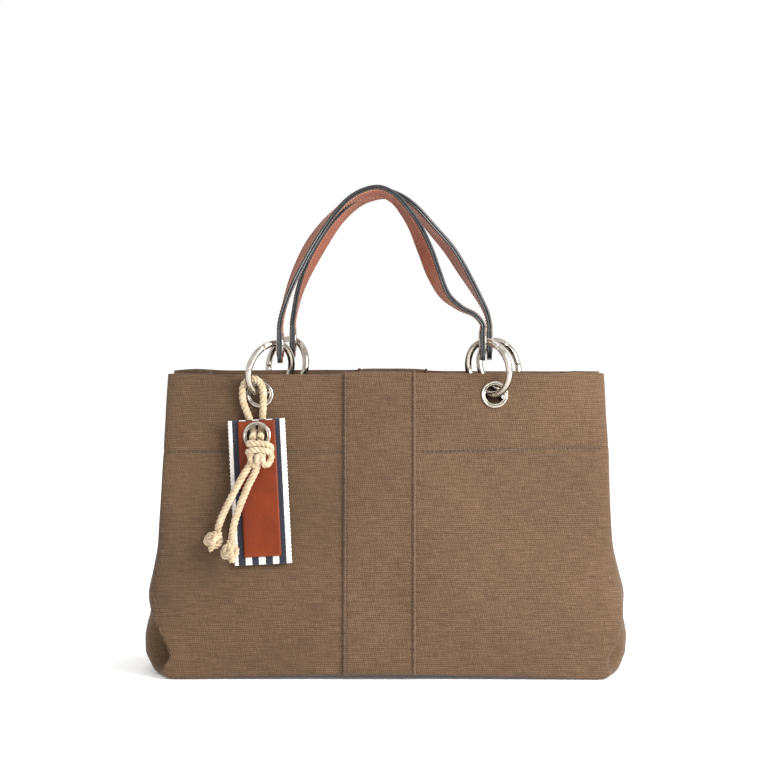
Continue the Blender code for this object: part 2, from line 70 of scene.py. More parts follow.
DRILL_DEPTH = 0.012
HALF_TURN = Matrix.Rotation(math.pi, 4, "Z")
CORNERS = (
    ("front_left", Matrix.Identity(4), -EYELET_FAR, LEAN_FAR),
    ("front_right", Matrix.Identity(4), EYELET_NEAR, LEAN_NEAR),
    ("back_right", HALF_TURN, -EYELET_FAR, LEAN_FAR),
    ("back_left", HALF_TURN, EYELET_NEAR, LEAN_NEAR),
)


# ---------------------------------------------------------------- camera, light and floor
def look_at(obj, place, target):
    """Put a camera or light at place, turned to target."""
    obj.location = place
    obj.rotation_euler = (Vector(target) - Vector(place)).to_track_quat("-Z", "Y").to_euler()


def put(name, data):
    """A new object in the scene."""
    obj = bpy.data.objects.new(name, data)
    bpy.context.scene.collection.objects.link(obj)
    return obj


def make_camera():
    """A long lens, two metres in front of the bag and slightly above it."""
    camera = put("camera", bpy.data.cameras.new("camera"))
    camera.data.lens = 125
    camera.data.sensor_width = 36
    camera.data.clip_end = 50
    aim = Vector((-0.0015, -0.045, 0.2195))
    rise = math.radians(2.6)
    look_at(camera, aim + Vector((0.012, -2.0 * math.cos(rise), 2.0 * math.sin(rise))), aim)
    bpy.context.scene.camera = camera


def area_light(name, place, size, power):
    """A white rectangular light, turned to the bag."""
    data = bpy.data.lights.new(name, "AREA")
    data.shape = "RECTANGLE"
    data.size, data.size_y = size
    data.energy = power
    look_at(put(name, data), place, (0, 0, 0.15))


def make_studio():
    """White surroundings, a near key light at the right and soft lights above and behind."""
    world = bpy.data.worlds.new("studio")
    world.use_nodes = True
    background = world.node_tree.nodes["Background"]
    background.inputs["Color"].default_value = (1, 1, 1, 1)
    background.inputs["Strength"].default_value = 1.0
    bpy.context.scene.world = world
    area_light("key", (0.55, -0.50, 0.48), (0.5, 0.5), 12)
    area_light("top", (0.3, -0.2, 2.0), (1.4, 1.4), 8)
    area_light("back", (-0.4, 1.9, 1.4), (1.8, 1.2), 7)
    bpy.context.scene.view_settings.view_transform = "Standard"


make_camera()
make_studio()


# ---------------------------------------------------------------- materials
class Graph:
    """A small helper that wires a Principled material."""

    def __init__(self, name, roughness=0.6, metallic=0.0, **sockets):
        self.mat = bpy.data.materials.new(name)
        self.mat.use_nodes = True
        self.tree = self.mat.node_tree
        self.shader = self.tree.nodes["Principled BSDF"]
        self.shader.inputs["Roughness"].default_value = roughness
        self.shader.inputs["Metallic"].default_value = metallic
        for key, value in sockets.items():
            self.shader.inputs[key.replace("_", " ")].default_value = value

    def feed(self, socket, value):
        if isinstance(value, bpy.types.NodeSocket):
            self.tree.links.new(value, socket)
        else:
            socket.default_value = value

    def node(self, kind, inputs, **props):
        made = self.tree.nodes.new(kind)
        for key, value in props.items():
            setattr(made, key, value)
        for key, value in inputs.items():
            self.feed(made.inputs[key], value)
        return made

    def place(self, scale=(1, 1, 1)):
        source = self.node("ShaderNodeTexCoord", {}).outputs["Object"]
        return self.node("ShaderNodeMapping", {"Vector": source, "Scale": scale}).outputs[0]

    def axes(self):
        source = self.node("ShaderNodeTexCoord", {}).outputs["Object"]
        return self.node("ShaderNodeSeparateXYZ", {"Vector": source}).outputs

    def join(self, x, y, z=0.0):
        return self.node("ShaderNodeCombineXYZ", {"X": x, "Y": y, "Z": z}).outputs[0]

    def math(self, operation, a, b=0.0, c=0.0):
        return self.node("ShaderNodeMath", {0: a, 1: b, 2: c}, operation=operation).outputs[0]

    def add(self, a, b):
        return self.math("ADD", a, b)

    def mul(self, a, b):
        return self.math("MULTIPLY", a, b)

    def mad(self, a, b, c):
        return self.math("MULTIPLY_ADD", a, b, c)

    def noise(self, vector, scale, detail=3.0, rough=0.55):
        return self.node("ShaderNodeTexNoise", {"Vector": vector, "Scale": scale,
                                                "Detail": detail, "Roughness": rough}).outputs[0]

    def yarn(self, a, b, scale_a, scale_b, detail):
        """Noise stretched differently along two directions, as in thread."""
        return self.noise(self.join(self.mul(a, scale_a), self.mul(b, scale_b)), 1.0, detail)

    def cells(self, vector, scale):
        return self.node("ShaderNodeTexVoronoi", {"Vector": vector, "Scale": scale}).outputs["Distance"]

    def ramp(self, fac, stops, interpolation="LINEAR"):
        made = self.node("ShaderNodeValToRGB", {"Fac": fac})
        made.color_ramp.interpolation = interpolation
        points = made.color_ramp.elements
        while len(points) < len(stops):
            points.new(0.5)
        for point, (where, colour) in zip(points, stops):
            point.position = where
            point.color = (*colour, 1)
        return made.outputs[0]

    def mix(self, fac, a, b, blend="MIX"):
        made = self.tree.nodes.new("ShaderNodeMix")
        made.data_type = "RGBA"
        made.blend_type = blend
        self.feed(made.inputs["Factor"], fac)
        for socket, value in ((made.inputs[6], a), (made.inputs[7], b)):
            self.feed(socket, (*value, 1) if isinstance(value, tuple) else value)
        return made.outputs[2]

    def span(self, value, low, high, to_low, to_high):
        return self.node("ShaderNodeMapRange", {"Value": value, "From Min": low,
                                                "From Max": high, "To Min": to_low,
                                                "To Max": to_high}).outputs[0]

    def bump(self, height, distance, strength=1.0, under=None):
        inputs = {"Height": height, "Distance": distance, "Strength": strength}
        if under is not None:
            inputs["Normal"] = under
        made = self.node("ShaderNodeBump", inputs).outputs[0]
        self.feed(self.shader.inputs["Normal"], made)
        return made

    def colour(self, value):
        self.feed(self.shader.inputs["Base Color"], value)

    def rough(self, value):
        self.feed(self.shader.inputs["Roughness"], value)


def srgb(r, g, b):
    """Linear colour of an 8-bit sRGB one."""
    return tuple(c / 12.92 if c <= 0.04045 else ((c + 0.055) / 1.055) ** 2.4
                 for c in (r / 255, g / 255, b / 255))


def canvas_material(name, dark, mid, light, pitch=0.0015, flat=False, seam_groove_shaded=False):
    """Plain-weave canvas: ribs and threads, short slubs, a fine melange, and on the outer skin
    the sunk line of the facing's seam, with painted shade darkening the canvas along it."""
    g = Graph(name, roughness=0.88, Sheen_Weight=0.10, Sheen_Roughness=0.6)
    g.shader.inputs["Specular IOR Level"].default_value = 0.20
    x, y, z = g.axes()
    along, up = (x, y) if flat else (g.add(x, y), z)
    plain = g.join(along, up)
    slub = g.yarn(along, up, 75.0, 720.0, 3.0)
    warp = g.yarn(along, up, 760.0, 90.0, 3.0)
    cloud = g.noise(plain, 11.0, 4.0)
    fleck = g.noise(plain, 1350.0, 2.0, 0.6)
    wander = g.mul(g.noise(plain, 45.0, 2.0), 2.2)
    ribs = g.math("SINE", g.mad(up, math.tau / pitch, wander))
    threads = g.math("SINE", g.mad(along, math.tau / pitch, wander))
    total = g.mad(slub, 0.36, g.mul(warp, 0.22))
    for layer, weight in ((cloud, 0.22), (fleck, 0.42), (ribs, 0.034), (threads, 0.022)):
        total = g.mad(layer, weight, total)
    tone = g.ramp(g.span(total, 0.40, 0.82, 0.0, 1.0), [(0.0, dark), (0.5, mid), (1.0, light)])
    weave = g.mad(ribs, 0.50, g.mul(threads, 0.34))
    for layer in (slub, fleck):
        weave = g.mad(layer, 0.9, weave)
    # painted shade: along the facing's seam line the canvas colour is darkened as if shaded in its groove; the
    # same mask also sinks the bump
    if seam_groove_shaded:
        step = g.node("ShaderNodeMapRange", {"Value": x, "From Min": 0.03, "From Max": 0.14,
                                             "To Min": SEAM_Z, "To Max": SEAM_Z + SEAM_RISE},
                      interpolation_type="SMOOTHSTEP").outputs[0]
        away = g.math("ABSOLUTE", g.math("SUBTRACT", z, step))
        grain = g.yarn(along, up, 260.0, 200.0, 2.0)
        sunk = g.mul(g.span(away, 0.0003, 0.0014, 1.0, 0.0), g.span(grain, 0.35, 0.6, 0.35, 1.0))
        # painted shade: the seam line is mixed toward this dark brown
        tone = g.mix(g.mul(sunk, 0.50), tone, srgb(66, 48, 36))
        weave = g.mad(sunk, -1.6, weave)
    g.colour(tone)
    g.bump(weave, 0.00032, 0.75)
    g.rough(g.span(slub, 0.3, 0.7, 0.93, 0.80))
    return g.mat


def leather_material(name, dark, mid, light, roughness=0.54):
    """Smooth vegetable-tanned leather: pores, soft mottling and light scuffs."""
    g = Graph(name, roughness=roughness, Coat_Weight=0.05, Coat_Roughness=0.35)
    g.shader.inputs["Specular IOR Level"].default_value = 0.19
    spot = g.place()
    cloud = g.noise(spot, 38.0, 5.0, 0.6)
    pore = g.cells(spot, 1500.0)
    crease = g.noise(g.place((1, 1, 0.35)), 420.0, 4.0, 0.7)
    scuff = g.noise(g.place((0.4, 1, 1)), 900.0, 2.0)
    g.colour(g.ramp(g.mad(crease, 0.35, g.mul(cloud, 0.72)),
                    [(0.28, dark), (0.53, mid), (0.80, light)]))
    first = g.bump(crease, 0.00010, 0.10)
    g.bump(g.span(pore, 0.0, 0.5, 0.0, 1.0), 0.00005, 0.10, first)
    g.rough(g.span(g.add(cloud, g.mul(scuff, 0.5)), 0.45, 1.05,
                   roughness + 0.10, roughness - 0.05))
    return g.mat


def edge_material():
    """Black edge paint, slightly lumpy."""
    g = Graph("edge_paint", roughness=0.33, Coat_Weight=0.25, Coat_Roughness=0.25)
    spot = g.place()
    lump = g.noise(spot, 160.0, 3.0)
    fine = g.noise(spot, 900.0, 3.0)
    g.colour(g.ramp(lump, [(0.3, srgb(14, 14, 16)), (0.7, srgb(36, 35, 38))]))
    g.bump(g.add(lump, g.mul(fine, 0.3)), 0.0004, 0.4)
    g.rough(g.span(fine, 0.3, 0.7, 0.27, 0.45))
    return g.mat


def nickel_material():
    """Polished nickel with haze and hairlines."""
    g = Graph("polished_nickel", roughness=0.15, metallic=1.0)
    spot = g.place()
    haze = g.noise(spot, 70.0, 4.0)
    hair = g.noise(g.place((1, 1, 14)), 900.0, 2.0)
    g.colour(g.ramp(haze, [(0.3, srgb(158, 150, 138)), (0.7, srgb(196, 189, 178))]))
    g.rough(g.span(g.mad(hair, 0.35, haze), 0.35, 0.95, 0.10, 0.27))
    g.bump(g.add(haze, g.mul(hair, 0.25)), 0.00006, 0.25)
    return g.mat


def thread_material(name, dark, light):
    """Twisted sewing thread."""
    g = Graph(name, roughness=0.62, Sheen_Weight=0.15)
    spot = g.place()
    twist = g.noise(spot, 2600.0, 2.0)
    tone = g.noise(spot, 60.0, 2.0)
    g.colour(g.mix(g.span(g.mad(twist, 0.5, tone), 0.45, 1.05, 0.0, 1.0), dark, light))
    g.bump(twist, 0.0002, 0.6)
    return g.mat


def rope_material():
    """Natural twisted jute or hemp: fibres, painted shade in the valleys between strands, and paler fuzz."""
    g = Graph("natural_rope", roughness=0.82, Sheen_Weight=0.25, Sheen_Roughness=0.5)
    spot = g.place()
    fibre = g.noise(g.place((1, 1, 0.5)), 1700.0, 4.0, 0.7)
    tone = g.noise(spot, 150.0, 3.0)
    valley_shade = g.node("ShaderNodeAttribute", {}, attribute_name="depth").outputs["Fac"]
    body = g.ramp(g.mad(fibre, 0.55, g.mul(tone, 0.5)),
                  [(0.30, srgb(142, 117, 84)), (0.52, srgb(184, 162, 130)), (0.78, srgb(215, 199, 172))])
    # painted shade: points deep between the strands are darkened toward srgb(112, 88, 56)
    g.colour(g.mix(g.span(valley_shade, 0.0, 1.0, 0.62, 0.0), body, srgb(112, 88, 56)))
    g.bump(fibre, 0.0004, 0.7)
    g.rough(g.span(fibre, 0.3, 0.7, 0.9, 0.7))
    return g.mat


def ribbon_material():
    """Striped grosgrain: fine cross ribs, navy and off-white bands across the local X."""
    g = Graph("striped_ribbon", roughness=0.7, Sheen_Weight=0.15)
    x, y, _ = g.axes()
    widths = [4.0, 7.0, 6.4, 6.7, 6.9, 7.2, 6.4, 7.2, 5.3]
    navy, white = srgb(14, 20, 40), srgb(236, 228, 220)
    stops, run = [], 0.0
    for i, wide in enumerate(widths):
        stops.append((run / sum(widths), navy if i % 2 else white))
        run += wide
    jitter = g.yarn(x, y, 300.0, 1400.0, 1.0)
    across = g.mad(g.math("SUBTRACT", jitter, 0.5), 0.0009, x)
    share = g.span(across, -TAG_WIDTH / 2, TAG_WIDTH / 2, 0.0, 1.0)
    stripes = g.ramp(share, stops, "CONSTANT")
    ribs = g.math("SINE", g.mul(y, math.tau / 0.00115))
    yarn = g.yarn(x, y, 1200.0, 300.0, 2.0)
    shade = g.span(g.mad(yarn, 0.9, g.mul(ribs, 0.28)), -0.1, 1.0, 0.80, 1.06)
    g.colour(g.mix(1.0, stripes, g.join(shade, shade, shade), "MULTIPLY"))
    g.bump(g.mad(yarn, 0.4, ribs), 0.00030, 0.8)
    return g.mat


CANVAS_TONES = (srgb(59, 42, 28), srgb(83, 62, 43), srgb(109, 84, 61))
MAT = {
    "canvas": canvas_material("taupe_canvas", *CANVAS_TONES),
    # the outer skin's canvas has painted shade along the facing's seam
    "skin": canvas_material("skin_canvas", *CANVAS_TONES, seam_groove_shaded=True),
    "base_canvas": canvas_material("base_canvas", *CANVAS_TONES, flat=True),
    "lining": canvas_material("lining_cotton", srgb(170, 156, 136), srgb(190, 177, 157),
                              srgb(206, 194, 176), pitch=0.0009),
    "leather": leather_material("cognac_leather", srgb(96, 42, 22), srgb(128, 62, 34), srgb(152, 82, 50)),
    "tag_leather": leather_material("tag_leather", srgb(82, 28, 5), srgb(104, 38, 8), srgb(120, 50, 13),
                                    0.48),
    "edge": edge_material(),
    "nickel": nickel_material(),
    "canvas_thread": thread_material("canvas_thread", srgb(46, 33, 23), srgb(78, 59, 43)),
    "leather_thread": thread_material("leather_thread", srgb(146, 88, 54), srgb(198, 142, 98)),
    "rope": rope_material(),
    "ribbon": ribbon_material(),
    "board": leather_material("base_board", srgb(150, 138, 120), srgb(172, 160, 142),
                              srgb(190, 178, 160), 0.8),
}


# ---------------------------------------------------------------- mesh helpers
def add_piece(name, verts, faces, looks, body, nodes=(), matrix=None, marks=None):
    """A mesh piece from points and faces, on its body; marks gives each face's material."""
    mesh = bpy.data.meshes.new(name)
    mesh.from_pydata([tuple(v) for v in verts], [], [tuple(f) for f in faces])
    bm = bmesh.new()
    bm.from_mesh(mesh)
    bmesh.ops.recalc_face_normals(bm, faces=bm.faces)
    bm.to_mesh(mesh)
    bm.free()
    for look in looks:
        mesh.materials.append(MAT[look])
    if marks is not None:
        mesh.polygons.foreach_set("material_index", marks)
    mesh.polygons.foreach_set("use_smooth", [True] * len(mesh.polygons))
    obj = put(name, mesh)
    if matrix is not None:
        obj.matrix_world = matrix
    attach(obj, body)
    if nodes:
        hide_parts(*nodes)
    return obj


def ring_faces(low, high, sides):
    """Faces between two rings of points, each given by the number of its first point."""
    return [(low + k, low + (k + 1) % sides, high + (k + 1) % sides, high + k) for k in range(sides)]


def closed_grid(outer, inner, wrap=False):
    """Points, faces and marks of a closed sheet between two grids of the same rows and columns.
    wrap joins the last column to the first. Rim faces are marked 1."""
    rows, cols = outer.shape[:2]
    verts = np.concatenate([outer.reshape(-1, 3), inner.reshape(-1, 3)])
    shift = rows * cols
    faces, marks = [], []
    last = cols if wrap else cols - 1
    for r in range(rows - 1):
        for c in range(last):
            d = (c + 1) % cols
            a, b, e, f = r * cols + c, r * cols + d, (r + 1) * cols + d, (r + 1) * cols + c
            faces += [(a, b, e, f), (f + shift, e + shift, b + shift, a + shift)]
            marks += [0, 0]
    rims = [(r * cols + c, r * cols + (c + 1) % cols) for r in (0, rows - 1) for c in range(last)]
    if not wrap:
        rims += [(r * cols + c, (r + 1) * cols + c) for c in (0, cols - 1) for r in range(rows - 1)]
    for a, b in rims:
        faces.append((a, b, b + shift, a + shift))
        marks.append(1)
    return verts, faces, marks


def split_pairs(rows):
    """An outer and an inner grid, from rows of (outer, inner) points."""
    return [np.array([[tuple(pair[i]) for pair in row] for row in rows]) for i in (0, 1)]


def flat_sheet(xs, ys, pair):
    """A closed sheet, as closed_grid gives it; pair(x, y) is an upper and a lower point."""
    return closed_grid(*split_pairs([[pair(x, y) for x in xs] for y in ys]))


def turned(name, profile, matrix, body, nodes, steps):
    """A nickel piece: a closed profile of (radius, height) turned about the local Z axis."""
    count = len(profile)
    verts, faces = [], []
    for i in range(steps):
        a = math.tau * i / steps
        verts += [(r * math.cos(a), r * math.sin(a), h) for r, h in profile]
        faces += ring_faces(i * count, (i + 1) % steps * count, count)
    return add_piece(name, verts, faces, ["nickel"], body, nodes, matrix)


def catmull(points, step):
    """Points of a Catmull-Rom curve through points, without its first and last spans."""
    out = []
    for i in range(1, len(points) - 2):
        p0, p1, p2, p3 = points[i - 1:i + 3]
        for k in range(step):
            t = k / step
            out.append(0.5 * (2 * p1 + (p2 - p0) * t + (2 * p0 - 5 * p1 + 4 * p2 - p3) * t * t
                              + (3 * p1 - p0 - 3 * p2 + p3) * t ** 3))
    return out


def distances(points):
    """How far along a path each of its points lies."""
    run = [0.0]
    for a, b in zip(points, points[1:]):
        run.append(run[-1] + (b - a).length)
    return run


def smooth_path(knots, count):
    """count points, evenly spread over a Catmull-Rom curve through knots."""
    knots = [Vector(k) for k in knots]
    ends = [knots[0] * 2 - knots[1]] + knots + [knots[-1] * 2 - knots[-2]]
    fine = catmull(ends, 24) + [knots[-1]]
    run = distances(fine)
    out, k = [], 0
    for i in range(count):
        want = run[-1] * i / (count - 1)
        while k < len(run) - 2 and run[k + 1] < want:
            k += 1
        share = (want - run[k]) / max(run[k + 1] - run[k], 1e-9)
        out.append(fine[k].lerp(fine[k + 1], min(max(share, 0.0), 1.0)))
    return out


def frames_along(points):
    """The direction and a steady pair of cross directions at each point of a path."""
    tangents = [(points[min(i + 1, len(points) - 1)] - points[max(i - 1, 0)]).normalized()
                for i in range(len(points))]
    side = tangents[0].orthogonal().normalized()
    out = []
    for t in tangents:
        side = (side - t * side.dot(t)).normalized()
        out.append((side.copy(), t.cross(side)))
    return tangents, out


def swept(points, radius, sides, scale=None):
    """Rings of a round tube along points, with rounded end caps, as points and faces."""
    tangents, frames = frames_along(points)
    radii = [radius * grow for grow in scale or [1.0] * len(points)]
    verts, faces = [], []
    for co, (a, b), r in zip(points, frames, radii):
        for k in range(sides):
            t = math.tau * k / sides
            verts.append(co + (a * math.cos(t) + b * math.sin(t)) * r)
    for i in range(len(points) - 1):
        faces += ring_faces(i * sides, (i + 1) * sides, sides)
    for i, way in ((0, -1), (len(points) - 1, 1)):
        base = ring = i * sides
        for lift, wide in ((0.35, 0.88), (0.55, 0.55)):
            new = len(verts)
            for k in range(sides):
                verts.append(points[i] + (verts[base + k] - points[i]) * wide
                             + tangents[i] * way * radii[i] * lift * 0.6)
            faces += ring_faces(ring, new, sides)
            ring = new
        faces.append(tuple(range(ring, ring + sides)))
    return verts, faces


def rope_strands(points, radius, pitch):
    """Points, faces and depth marks of a laid rope of three strands along a path; the depth marks drive the
    painted shade between the strands.
    """
    _, frames = frames_along(points)
    verts, faces, depth = [], [], []
    core, wide, strands, sides = radius * 0.50, radius * 0.54, 3, 10
    for s in range(strands):
        start = len(verts)
        line = []
        for co, (a, b), d in zip(points, frames, distances(points)):
            t = math.tau * (d / pitch + s / strands)
            line.append(co + (a * math.cos(t) + b * math.sin(t)) * core)
        tube, tube_faces = swept(line, wide, sides)
        for i, v in enumerate(tube):
            k = min(i // sides, len(points) - 1)
            far = (v - points[k]).length / (core + wide)
            depth.append(min(max((far - 0.45) / 0.5, 0.0), 1.0))
        verts += tube
        faces += [tuple(start + k for k in f) for f in tube_faces]
    return verts, faces, depth


STITCH_RINGS = ((-1.0, 0.25, -0.35), (-0.72, 0.85, 0.25), (0.0, 1.0, 0.62), (0.72, 0.85, 0.25),
                (1.0, 0.25, -0.35))
STITCH_SHARE, STITCH_SIDES = 1 - 0.28, 8


def stitch_row(name, places, cloth, body, width):
    """Stitches between successive (point, normal) places: each is a small sunk pad of thread."""
    verts, faces = [], []
    for (a, na), (b, nb) in zip(places, places[1:]):
        along = b - a
        half = along.length * STITCH_SHARE / 2
        along.normalize()
        up = ((na + nb) / 2).normalized()
        side = along.cross(up).normalized()
        middle = (a + b) / 2
        start = len(verts)
        for t, wide, lift in STITCH_RINGS:
            core = middle + along * half * t + up * width * lift
            for k in range(STITCH_SIDES):
                ang = math.tau * k / STITCH_SIDES
                verts.append(core + (side * math.cos(ang) + up * math.sin(ang) * 0.75) * width * wide)
        rings = range(start, len(verts), STITCH_SIDES)
        for low, high in zip(rings, rings[1:]):
            faces += ring_faces(low, high, STITCH_SIDES)
        faces += [tuple(range(ring, ring + STITCH_SIDES)) for ring in (rings[0], rings[-1])]
    return add_piece(name, verts, faces, [f"{cloth}_thread"], body)


def bake(obj):
    """Put the object's modifiers into its mesh."""
    graph = bpy.context.evaluated_depsgraph_get()
    mesh = bpy.data.meshes.new_from_object(obj.evaluated_get(graph))
    obj.modifiers.clear()
    obj.data = mesh


def drill(obj, radius, depth, matrices):
    """Round holes through a piece."""
    for matrix in matrices:
        bm = bmesh.new()
        bmesh.ops.create_cone(bm, cap_ends=True, segments=48, radius1=radius, radius2=radius,
                              depth=depth, matrix=matrix)
        mesh = bpy.data.meshes.new("cutter")
        bm.to_mesh(mesh)
        bm.free()
        cutter = put("cutter", mesh)
        mod = obj.modifiers.new("hole", "BOOLEAN")
        mod.operation, mod.solver, mod.object = "DIFFERENCE", "EXACT", cutter
        bake(obj)
        bpy.data.objects.remove(cutter, do_unlink=True)


def smoothstep(t):
    """Smooth step from 0 to 1, of a number or an array."""
    t = np.clip(t, 0.0, 1.0)
    return t * t * (3 - 2 * t)


# ---------------------------------------------------------------- the bag's skin
def half_depth(z):
    """Half of the bag's depth at a height."""
    return BASE_HALF_DEPTH + (TOP_HALF_DEPTH - BASE_HALF_DEPTH) * z / HEIGHT


def on_front(x, z, out):
    """A point out from the front panel's flat face, square to it."""
    return Vector((x, -half_depth(z) - out * math.cos(SLOPE), z + out * math.sin(SLOPE)))


def panel_frame(x, z, out=0.0):
    """Axes on the front panel: X to the right, Y up the panel, Z out of it."""
    c, s = math.cos(SLOPE), math.sin(SLOPE)
    turn = Matrix(((1, 0, 0), (0, s, -c), (0, c, s))).to_4x4()
    return Matrix.Translation(on_front(x, z, out)) @ turn


# Half sections of the skin at a few heights, in mm: height, then x and depth behind the front
# plane of the near corner, the corner, the hollow, the lip, the bulge, and x of the middle.
LEFT_SECTIONS = (
    (0.0, (150, 0), (160, 2.0), (164, 9), (168, 18), (171, 32), 171),
    (4.0, (154, 0), (167, 1.2), (166, 9), (170, 20), (176, 33), 176),
    (9.5, (158, 0), (165.4, 1.6), (150, 9.0), (160, 24), (178.5, 34), 178),
    (17.0, (154, 0), (161.2, 1.6), (145, 9.0), (157, 25), (181, 34), 180),
    (27.0, (158, 0), (165.4, 1.6), (150, 9.0), (160, 24), (181.2, 33), 180.5),
    (36.0, (163, 0), (170.6, 1.9), (160, 9.0), (167, 21), (180, 31), 180),
    (45.0, (162, 0), (174, 2.5), (175, 9.0), (175.5, 18), (178.5, 30), 178.5),
    (61.0, (163, 0), (174.5, 3.5), (178.3, 11), (178.3, 20), (177, 33), 176),
    (80.0, (160, 0), (171.5, 2.5), (175, 9), (175, 18), (174, 30), 172),
    (102.0, (158, 0), (168.6, 2.0), (171, 7), (170.5, 14), (168, 25), 163),
    (150.0, (157, 0), (166.6, 1.6), (168.4, 5), (166, 11), (159, 20), 149),
    (190.0, (156, 0), (165.0, 1.3), (166.3, 4.5), (162.5, 10), (153, 18), 141),
    (226.0, (154, 0), (163.6, 1.2), (164.6, 4.2), (160.5, 9.5), (149, 17), 135),
)
RIGHT_SHIFT = ((0, 0, 0), (9.5, -0.5, 0), (17, 5.0, 4), (27, 7.0, 7), (36, 4.5, 6), (45, 2.0, 2),
               (61, 0, 0), (226, 0, 0))
FRONT_COLS, SIDE_STEP, ROWS = 100, 7, 92
ARCH, ARCH_HALF, ARCH_FADE = 0.0033, 0.158, 0.055
MOUTH_FROM, MOUTH_FADE = 0.19, 0.036


def section_table(right):
    """The sections in metres, a row for each height; the right side's corner is shifted."""
    heights, shifts, hollows = zip(*RIGHT_SHIFT)
    rows = []
    for z, *points, middle in LEFT_SECTIONS:
        shift, hollow = (np.interp(z, heights, moves) * right for moves in (shifts, hollows))
        move = [shift * 0.6, shift, hollow, 0, 0]
        rows.append([c for (x, d), m in zip(points, move) for c in (x + m, d)] + [middle])
    return np.array(rows) / 1000


def smooth_columns(heights, table, z):
    """Each column of the table at the heights z, by a curve with limited slopes."""
    h = np.diff(heights)
    slope = np.diff(table, axis=0) / h[:, None]
    tangent = np.zeros_like(table)
    a, b = slope[:-1], slope[1:]
    same = a * b > 0
    tangent[1:-1][same] = (2 * a * b / (a + b + 1e-12))[same]
    tangent[0], tangent[-1] = slope[0], slope[-1]
    k = np.clip(np.searchsorted(heights, z, side="right") - 1, 0, len(h) - 1)
    t = ((z - heights[k]) / h[k])[:, None]
    return (table[k] * (2 * t ** 3 - 3 * t ** 2 + 1) + table[k + 1] * (3 * t ** 2 - 2 * t ** 3)
            + h[k][:, None] * (tangent[k] * (t ** 3 - 2 * t ** 2 + t) + tangent[k + 1] * (t ** 3 - t ** 2)))


def skin_heights():
    """Heights of the skin's rows, closer together over the lower folds."""
    low = np.linspace(0.0, 0.05, 34)
    high = np.linspace(0.05, HEIGHT, ROWS - 33)[1:]
    return np.concatenate([low, high])


def flat_skin(z_rows):
    """Outer faces of the front, right side, back and left side, a closed loop at each height."""
    heights = np.array([r[0] for r in LEFT_SECTIONS]) / 1000
    tables = [smooth_columns(heights, section_table(right), z_rows) for right in (False, True)]
    grid = []
    for r, z in enumerate(z_rows):
        deep = half_depth(z)
        left, right = tables[0][r], tables[1][r]

        def side_loop(front, back):
            """Right side from its front corner to its back corner."""
            fore = [np.array((front[2 * i], -deep + front[2 * i + 1])) for i in range(5)]
            aft = [np.array((back[2 * i], deep - back[2 * i + 1])) for i in range(5)]
            middle = [np.array(((front[10] + back[10]) / 2, 0.0))]
            run = fore + middle + aft[::-1]
            start = run[0] - np.array((0.012, 0.0))
            stop = run[-1] - np.array((0.012, 0.0))
            return catmull([start] + run + [stop], SIDE_STEP)
        side = side_loop(right, left)
        front = [np.array((x, -deep)) for x in np.linspace(-left[0], right[0], FRONT_COLS + 1)[:-1]]
        back = [-p for p in front]
        loop = front + side + back + [-p for p in side]
        grid.append([(x, y, z) for x, y in loop])
    return np.array(grid)


def normals_of(grid):
    """Outward normals of a closed loop grid."""
    around = np.roll(grid, -1, axis=1) - np.roll(grid, 1, axis=1)
    up = np.gradient(grid, axis=0)
    n = np.cross(around, up)
    return n / np.maximum(np.linalg.norm(n, axis=2, keepdims=True), 1e-12)


def ripples(x, z, side):
    """Soft waves in the cloth, in metres, at points of the front (side 1) or back (side -1)."""
    x = np.asarray(x, float)
    z = np.asarray(z, float)
    p = 0.0 if side > 0 else 1.9
    wave = 0.00075 * np.sin(21 * x + 13 * z + 0.8 + p) * np.sin(17 * z - 9 * x + 0.4 + 2 * p)
    wave += 0.00045 * np.sin(47 * x - 31 * z + 2.1 + p) * np.sin(38 * z + 1.3 * p)
    wave += 0.00025 * np.sin(96 * x + 40 * z + p) * np.sin(71 * z + 22 * x + 1.0)
    line = stitch_height(x)
    pucker = 0.00022 * np.sin(math.tau * x / 0.0086 + 1.7 * np.sin(61 * x + p))
    wave += pucker * np.exp(-((z - line + 0.002) / 0.0045) ** 2)
    wave -= 0.00035 * np.exp(-((z - line) / 0.0016) ** 2)
    # the cloth falls slack below the stitched facing and over the base
    wave += 0.0011 * np.exp(-((z - 0.045) / 0.030) ** 2) * np.cos(x * 9.5) ** 2
    wave -= 0.0009 * np.exp(-((z - 0.120) / 0.050) ** 2) * np.exp(-((abs(x) - 0.09) / 0.05) ** 2)
    hold = np.ones_like(x)
    for ex in (-EYELET_FAR, EYELET_NEAR):
        hold = hold * (1 - np.exp(-((x - ex) ** 2 + (z - EYELET_Z) ** 2) / 0.00045))
    hold = hold * (1 - 0.8 * np.exp(-((x - BAND_X) / 0.03) ** 4))
    return wave * hold


def stitch_height(x):
    """Height of the facing's stitch line, a little higher at the right."""
    x = np.asarray(x, float)
    return SEAM_Z + SEAM_RISE * smoothstep((x - 0.03) / 0.11) + 0.0003 * np.sin(40 * x)


def base_arch(x):
    """The base lifts off the floor between its ends."""
    return ARCH * np.clip(1 - (np.asarray(x, float) / ARCH_HALF) ** 2, 0.0, 1.0)


def mouth_rise(x, side):
    """The mouth's edge isn't quite straight."""
    x = np.asarray(x, float) * side
    return (0.0005 * np.sin(19 * x + 0.7) + 0.0014 * np.exp(-((x - 0.148) / 0.016) ** 2)
            + 0.0008 * np.exp(-((x - BAND_X) / 0.027) ** 4))


def arch_share(z):
    """How much of the base's arch reaches a height."""
    return 1 - smoothstep(z / ARCH_FADE)


def mouth_share(z):
    """How much of the mouth's rise reaches down to a height."""
    return smoothstep((z - MOUTH_FROM) / MOUTH_FADE)


